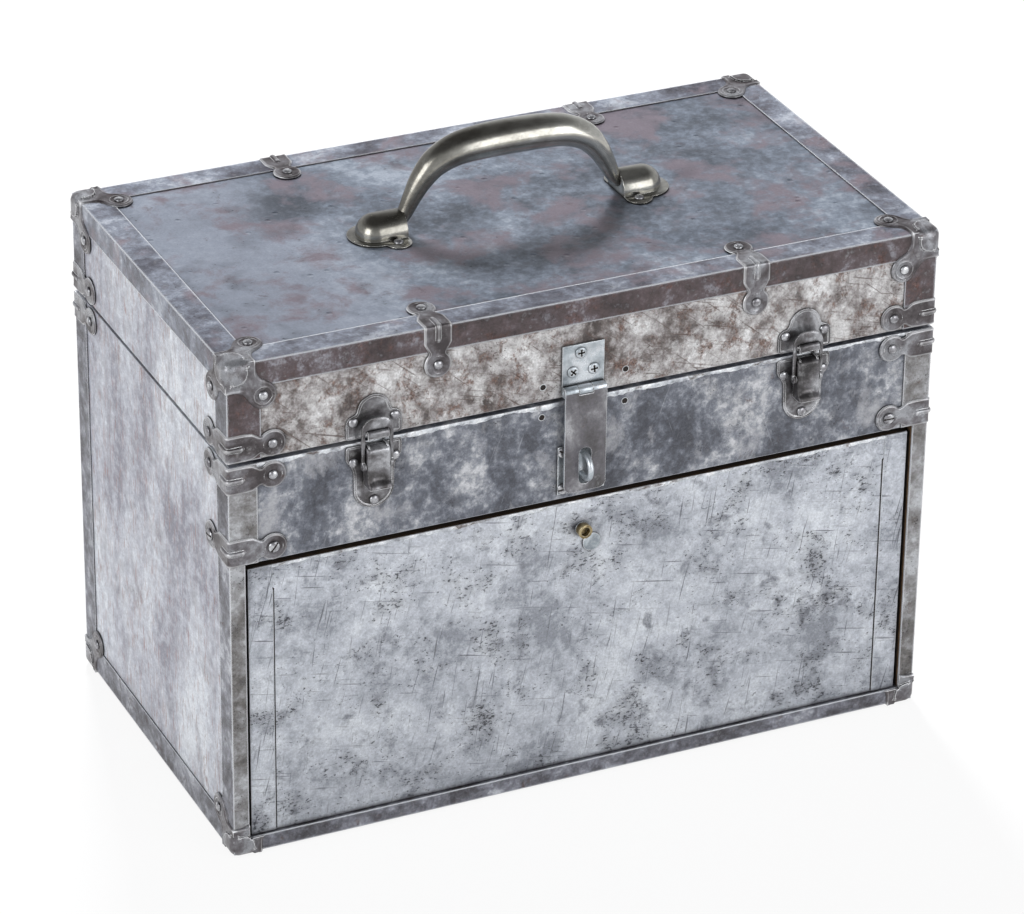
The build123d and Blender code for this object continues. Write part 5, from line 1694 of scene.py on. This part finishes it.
def add_lights(scene):
    """A dim sky, a studio's ceiling for reflections, and three soft lamps."""
    world = bpy.data.worlds.new("studio_sky")
    scene.world = world
    world.use_nodes = True
    tree = world.node_tree
    tree.nodes.clear()
    dim = add(tree, "ShaderNodeBackground", {"Color": "#F2F4F8", "Strength": 0.30})
    white = add(tree, "ShaderNodeBackground", {"Color": "#FFFFFF", "Strength": 1.0})
    way = add(tree, "ShaderNodeTexCoord").outputs["Generated"]
    height = add(tree, "ShaderNodeSeparateXYZ", {0: way}).outputs["Z"]
    ceiling = add(tree, "ShaderNodeMapRange", {
        "Value": height, "From Min": 0.38, "From Max": 0.84, "To Min": 0.9, "To Max": 0.08,
    }).outputs[0]
    studio = add(tree, "ShaderNodeBackground", {"Color": "#F2F4F8", "Strength": ceiling})
    rays = add(tree, "ShaderNodeLightPath")
    soft = add(tree, "ShaderNodeMixShader", {
        0: rays.outputs["Is Glossy Ray"], 1: dim.outputs[0], 2: studio.outputs[0],
    })
    seen = add(tree, "ShaderNodeMath", {
        0: rays.outputs["Is Camera Ray"], 1: rays.outputs["Is Transmission Ray"],
    }, operation="MAXIMUM")
    both = add(tree, "ShaderNodeMixShader", {0: seen.outputs[0], 1: soft.outputs[0], 2: white.outputs[0]})
    add(tree, "ShaderNodeOutputWorld", {"Surface": both.outputs[0]})
    lamps = [
        ("left", (-2.0, -0.9, 1.1), 1.3, 24.0, True), ("front", (1.3, -2.2, 0.9), 1.8, 28.0, True),
        ("rear", (0.33, 1.58, 1.72), 0.45, 76.0, False),
    ]
    for name, place, size, power, mirrored in lamps:
        light = bpy.data.lights.new(name + "_softbox", "AREA")
        light.shape = "SQUARE"
        light.size = size
        light.energy = power
        lamp = bpy.data.objects.new(name + "_softbox", light)
        scene.collection.objects.link(lamp)
        lamp.location = place
        lamp.visible_glossy = mirrored
        aim = Vector((0, 0, 0.18)) - Vector(place)
        lamp.rotation_euler = aim.to_track_quat("-Z", "Y").to_euler()


def add_camera(scene):
    """The camera that was fitted to the case's corners in the picture."""
    azimuth, elevation, roll = radians(-24.9637), radians(28.0974), radians(0.768)
    width = 2 * HALF_W
    focal_px, wide_px = 4855.034, 1024.0
    # In widths of the case: its height, the aim's shift to the right and down, and the camera's distance
    case_high, shift_right, shift_down, away = 0.7116, 0.0165, 0.0083, 6.5469
    back = Vector((sin(azimuth) * cos(elevation), -cos(azimuth) * cos(elevation), sin(elevation)))
    right = Vector((0, 0, 1)).cross(back).normalized()
    up = back.cross(right)
    right_rolled = right * cos(roll) + up * sin(roll)
    up_rolled = up * cos(roll) - right * sin(roll)
    middle = Vector((0, CASE_MIDDLE, FLOOR + case_high * width / 2))
    target = middle + right_rolled * shift_right * width - up_rolled * shift_down * width
    place = target + back * away * width
    data = bpy.data.cameras.new("studio_camera")
    data.sensor_width = 36.0
    data.sensor_fit = "HORIZONTAL"
    data.lens = focal_px * data.sensor_width / wide_px
    data.clip_end = 50.0
    camera = bpy.data.objects.new("studio_camera", data)
    scene.collection.objects.link(camera)
    turn = Matrix((right_rolled, up_rolled, back)).transposed().to_4x4()
    camera.matrix_world = at(*(place * MM)) @ turn
    scene.camera = camera


class TOOLCHEST_PT_panel(bpy.types.Panel):
    """Lists the sizes and the steps of the tool chest"""

    bl_idname = "TOOLCHEST_PT_panel"
    bl_label = "Tool chest"
    bl_space_type = "VIEW_3D"
    bl_region_type = "UI"
    bl_category = "Tool chest"

    def draw(self, context):
        for key, sizes in GROUPS.items():
            box = self.layout.box()
            for name in sizes.__annotations__:
                box.prop(getattr(context.scene, key), name)
        for step in STEPS:
            self.layout.operator(step.bl_idname)


GROUPS = {
    "toolchest_fittings": FittingSizes, "toolchest_latches": LatchSizes,
    "toolchest_grip": GripSizes, "toolchest_stage": StageColours,
}
STEPS = (
    TOOLCHEST_OT_sheets, TOOLCHEST_OT_lips, TOOLCHEST_OT_fittings, TOOLCHEST_OT_fasteners,
    TOOLCHEST_OT_latches, TOOLCHEST_OT_handle, TOOLCHEST_OT_hardware, TOOLCHEST_OT_marks, TOOLCHEST_OT_stage,
)


def register():
    for group in GROUPS.values():
        bpy.utils.register_class(group)
    for name, group in GROUPS.items():
        setattr(bpy.types.Scene, name, bpy.props.PointerProperty(type=group))
    for step in STEPS:
        bpy.utils.register_class(step)
    bpy.utils.register_class(TOOLCHEST_PT_panel)


def unregister():
    bpy.utils.unregister_class(TOOLCHEST_PT_panel)
    for step in reversed(STEPS):
        bpy.utils.unregister_class(step)
    for name in GROUPS:
        delattr(bpy.types.Scene, name)
    for group in reversed(list(GROUPS.values())):
        bpy.utils.unregister_class(group)


def main():
    register()
    bpy.ops.toolchest.sheets()
    bpy.ops.toolchest.lips()
    bpy.ops.toolchest.fittings()
    bpy.ops.toolchest.fasteners()
    bpy.ops.toolchest.latches()
    bpy.ops.toolchest.handle()
    bpy.ops.toolchest.hardware()
    bpy.ops.toolchest.marks()
    bpy.ops.toolchest.stage()


if __name__ == "__main__":
    main()
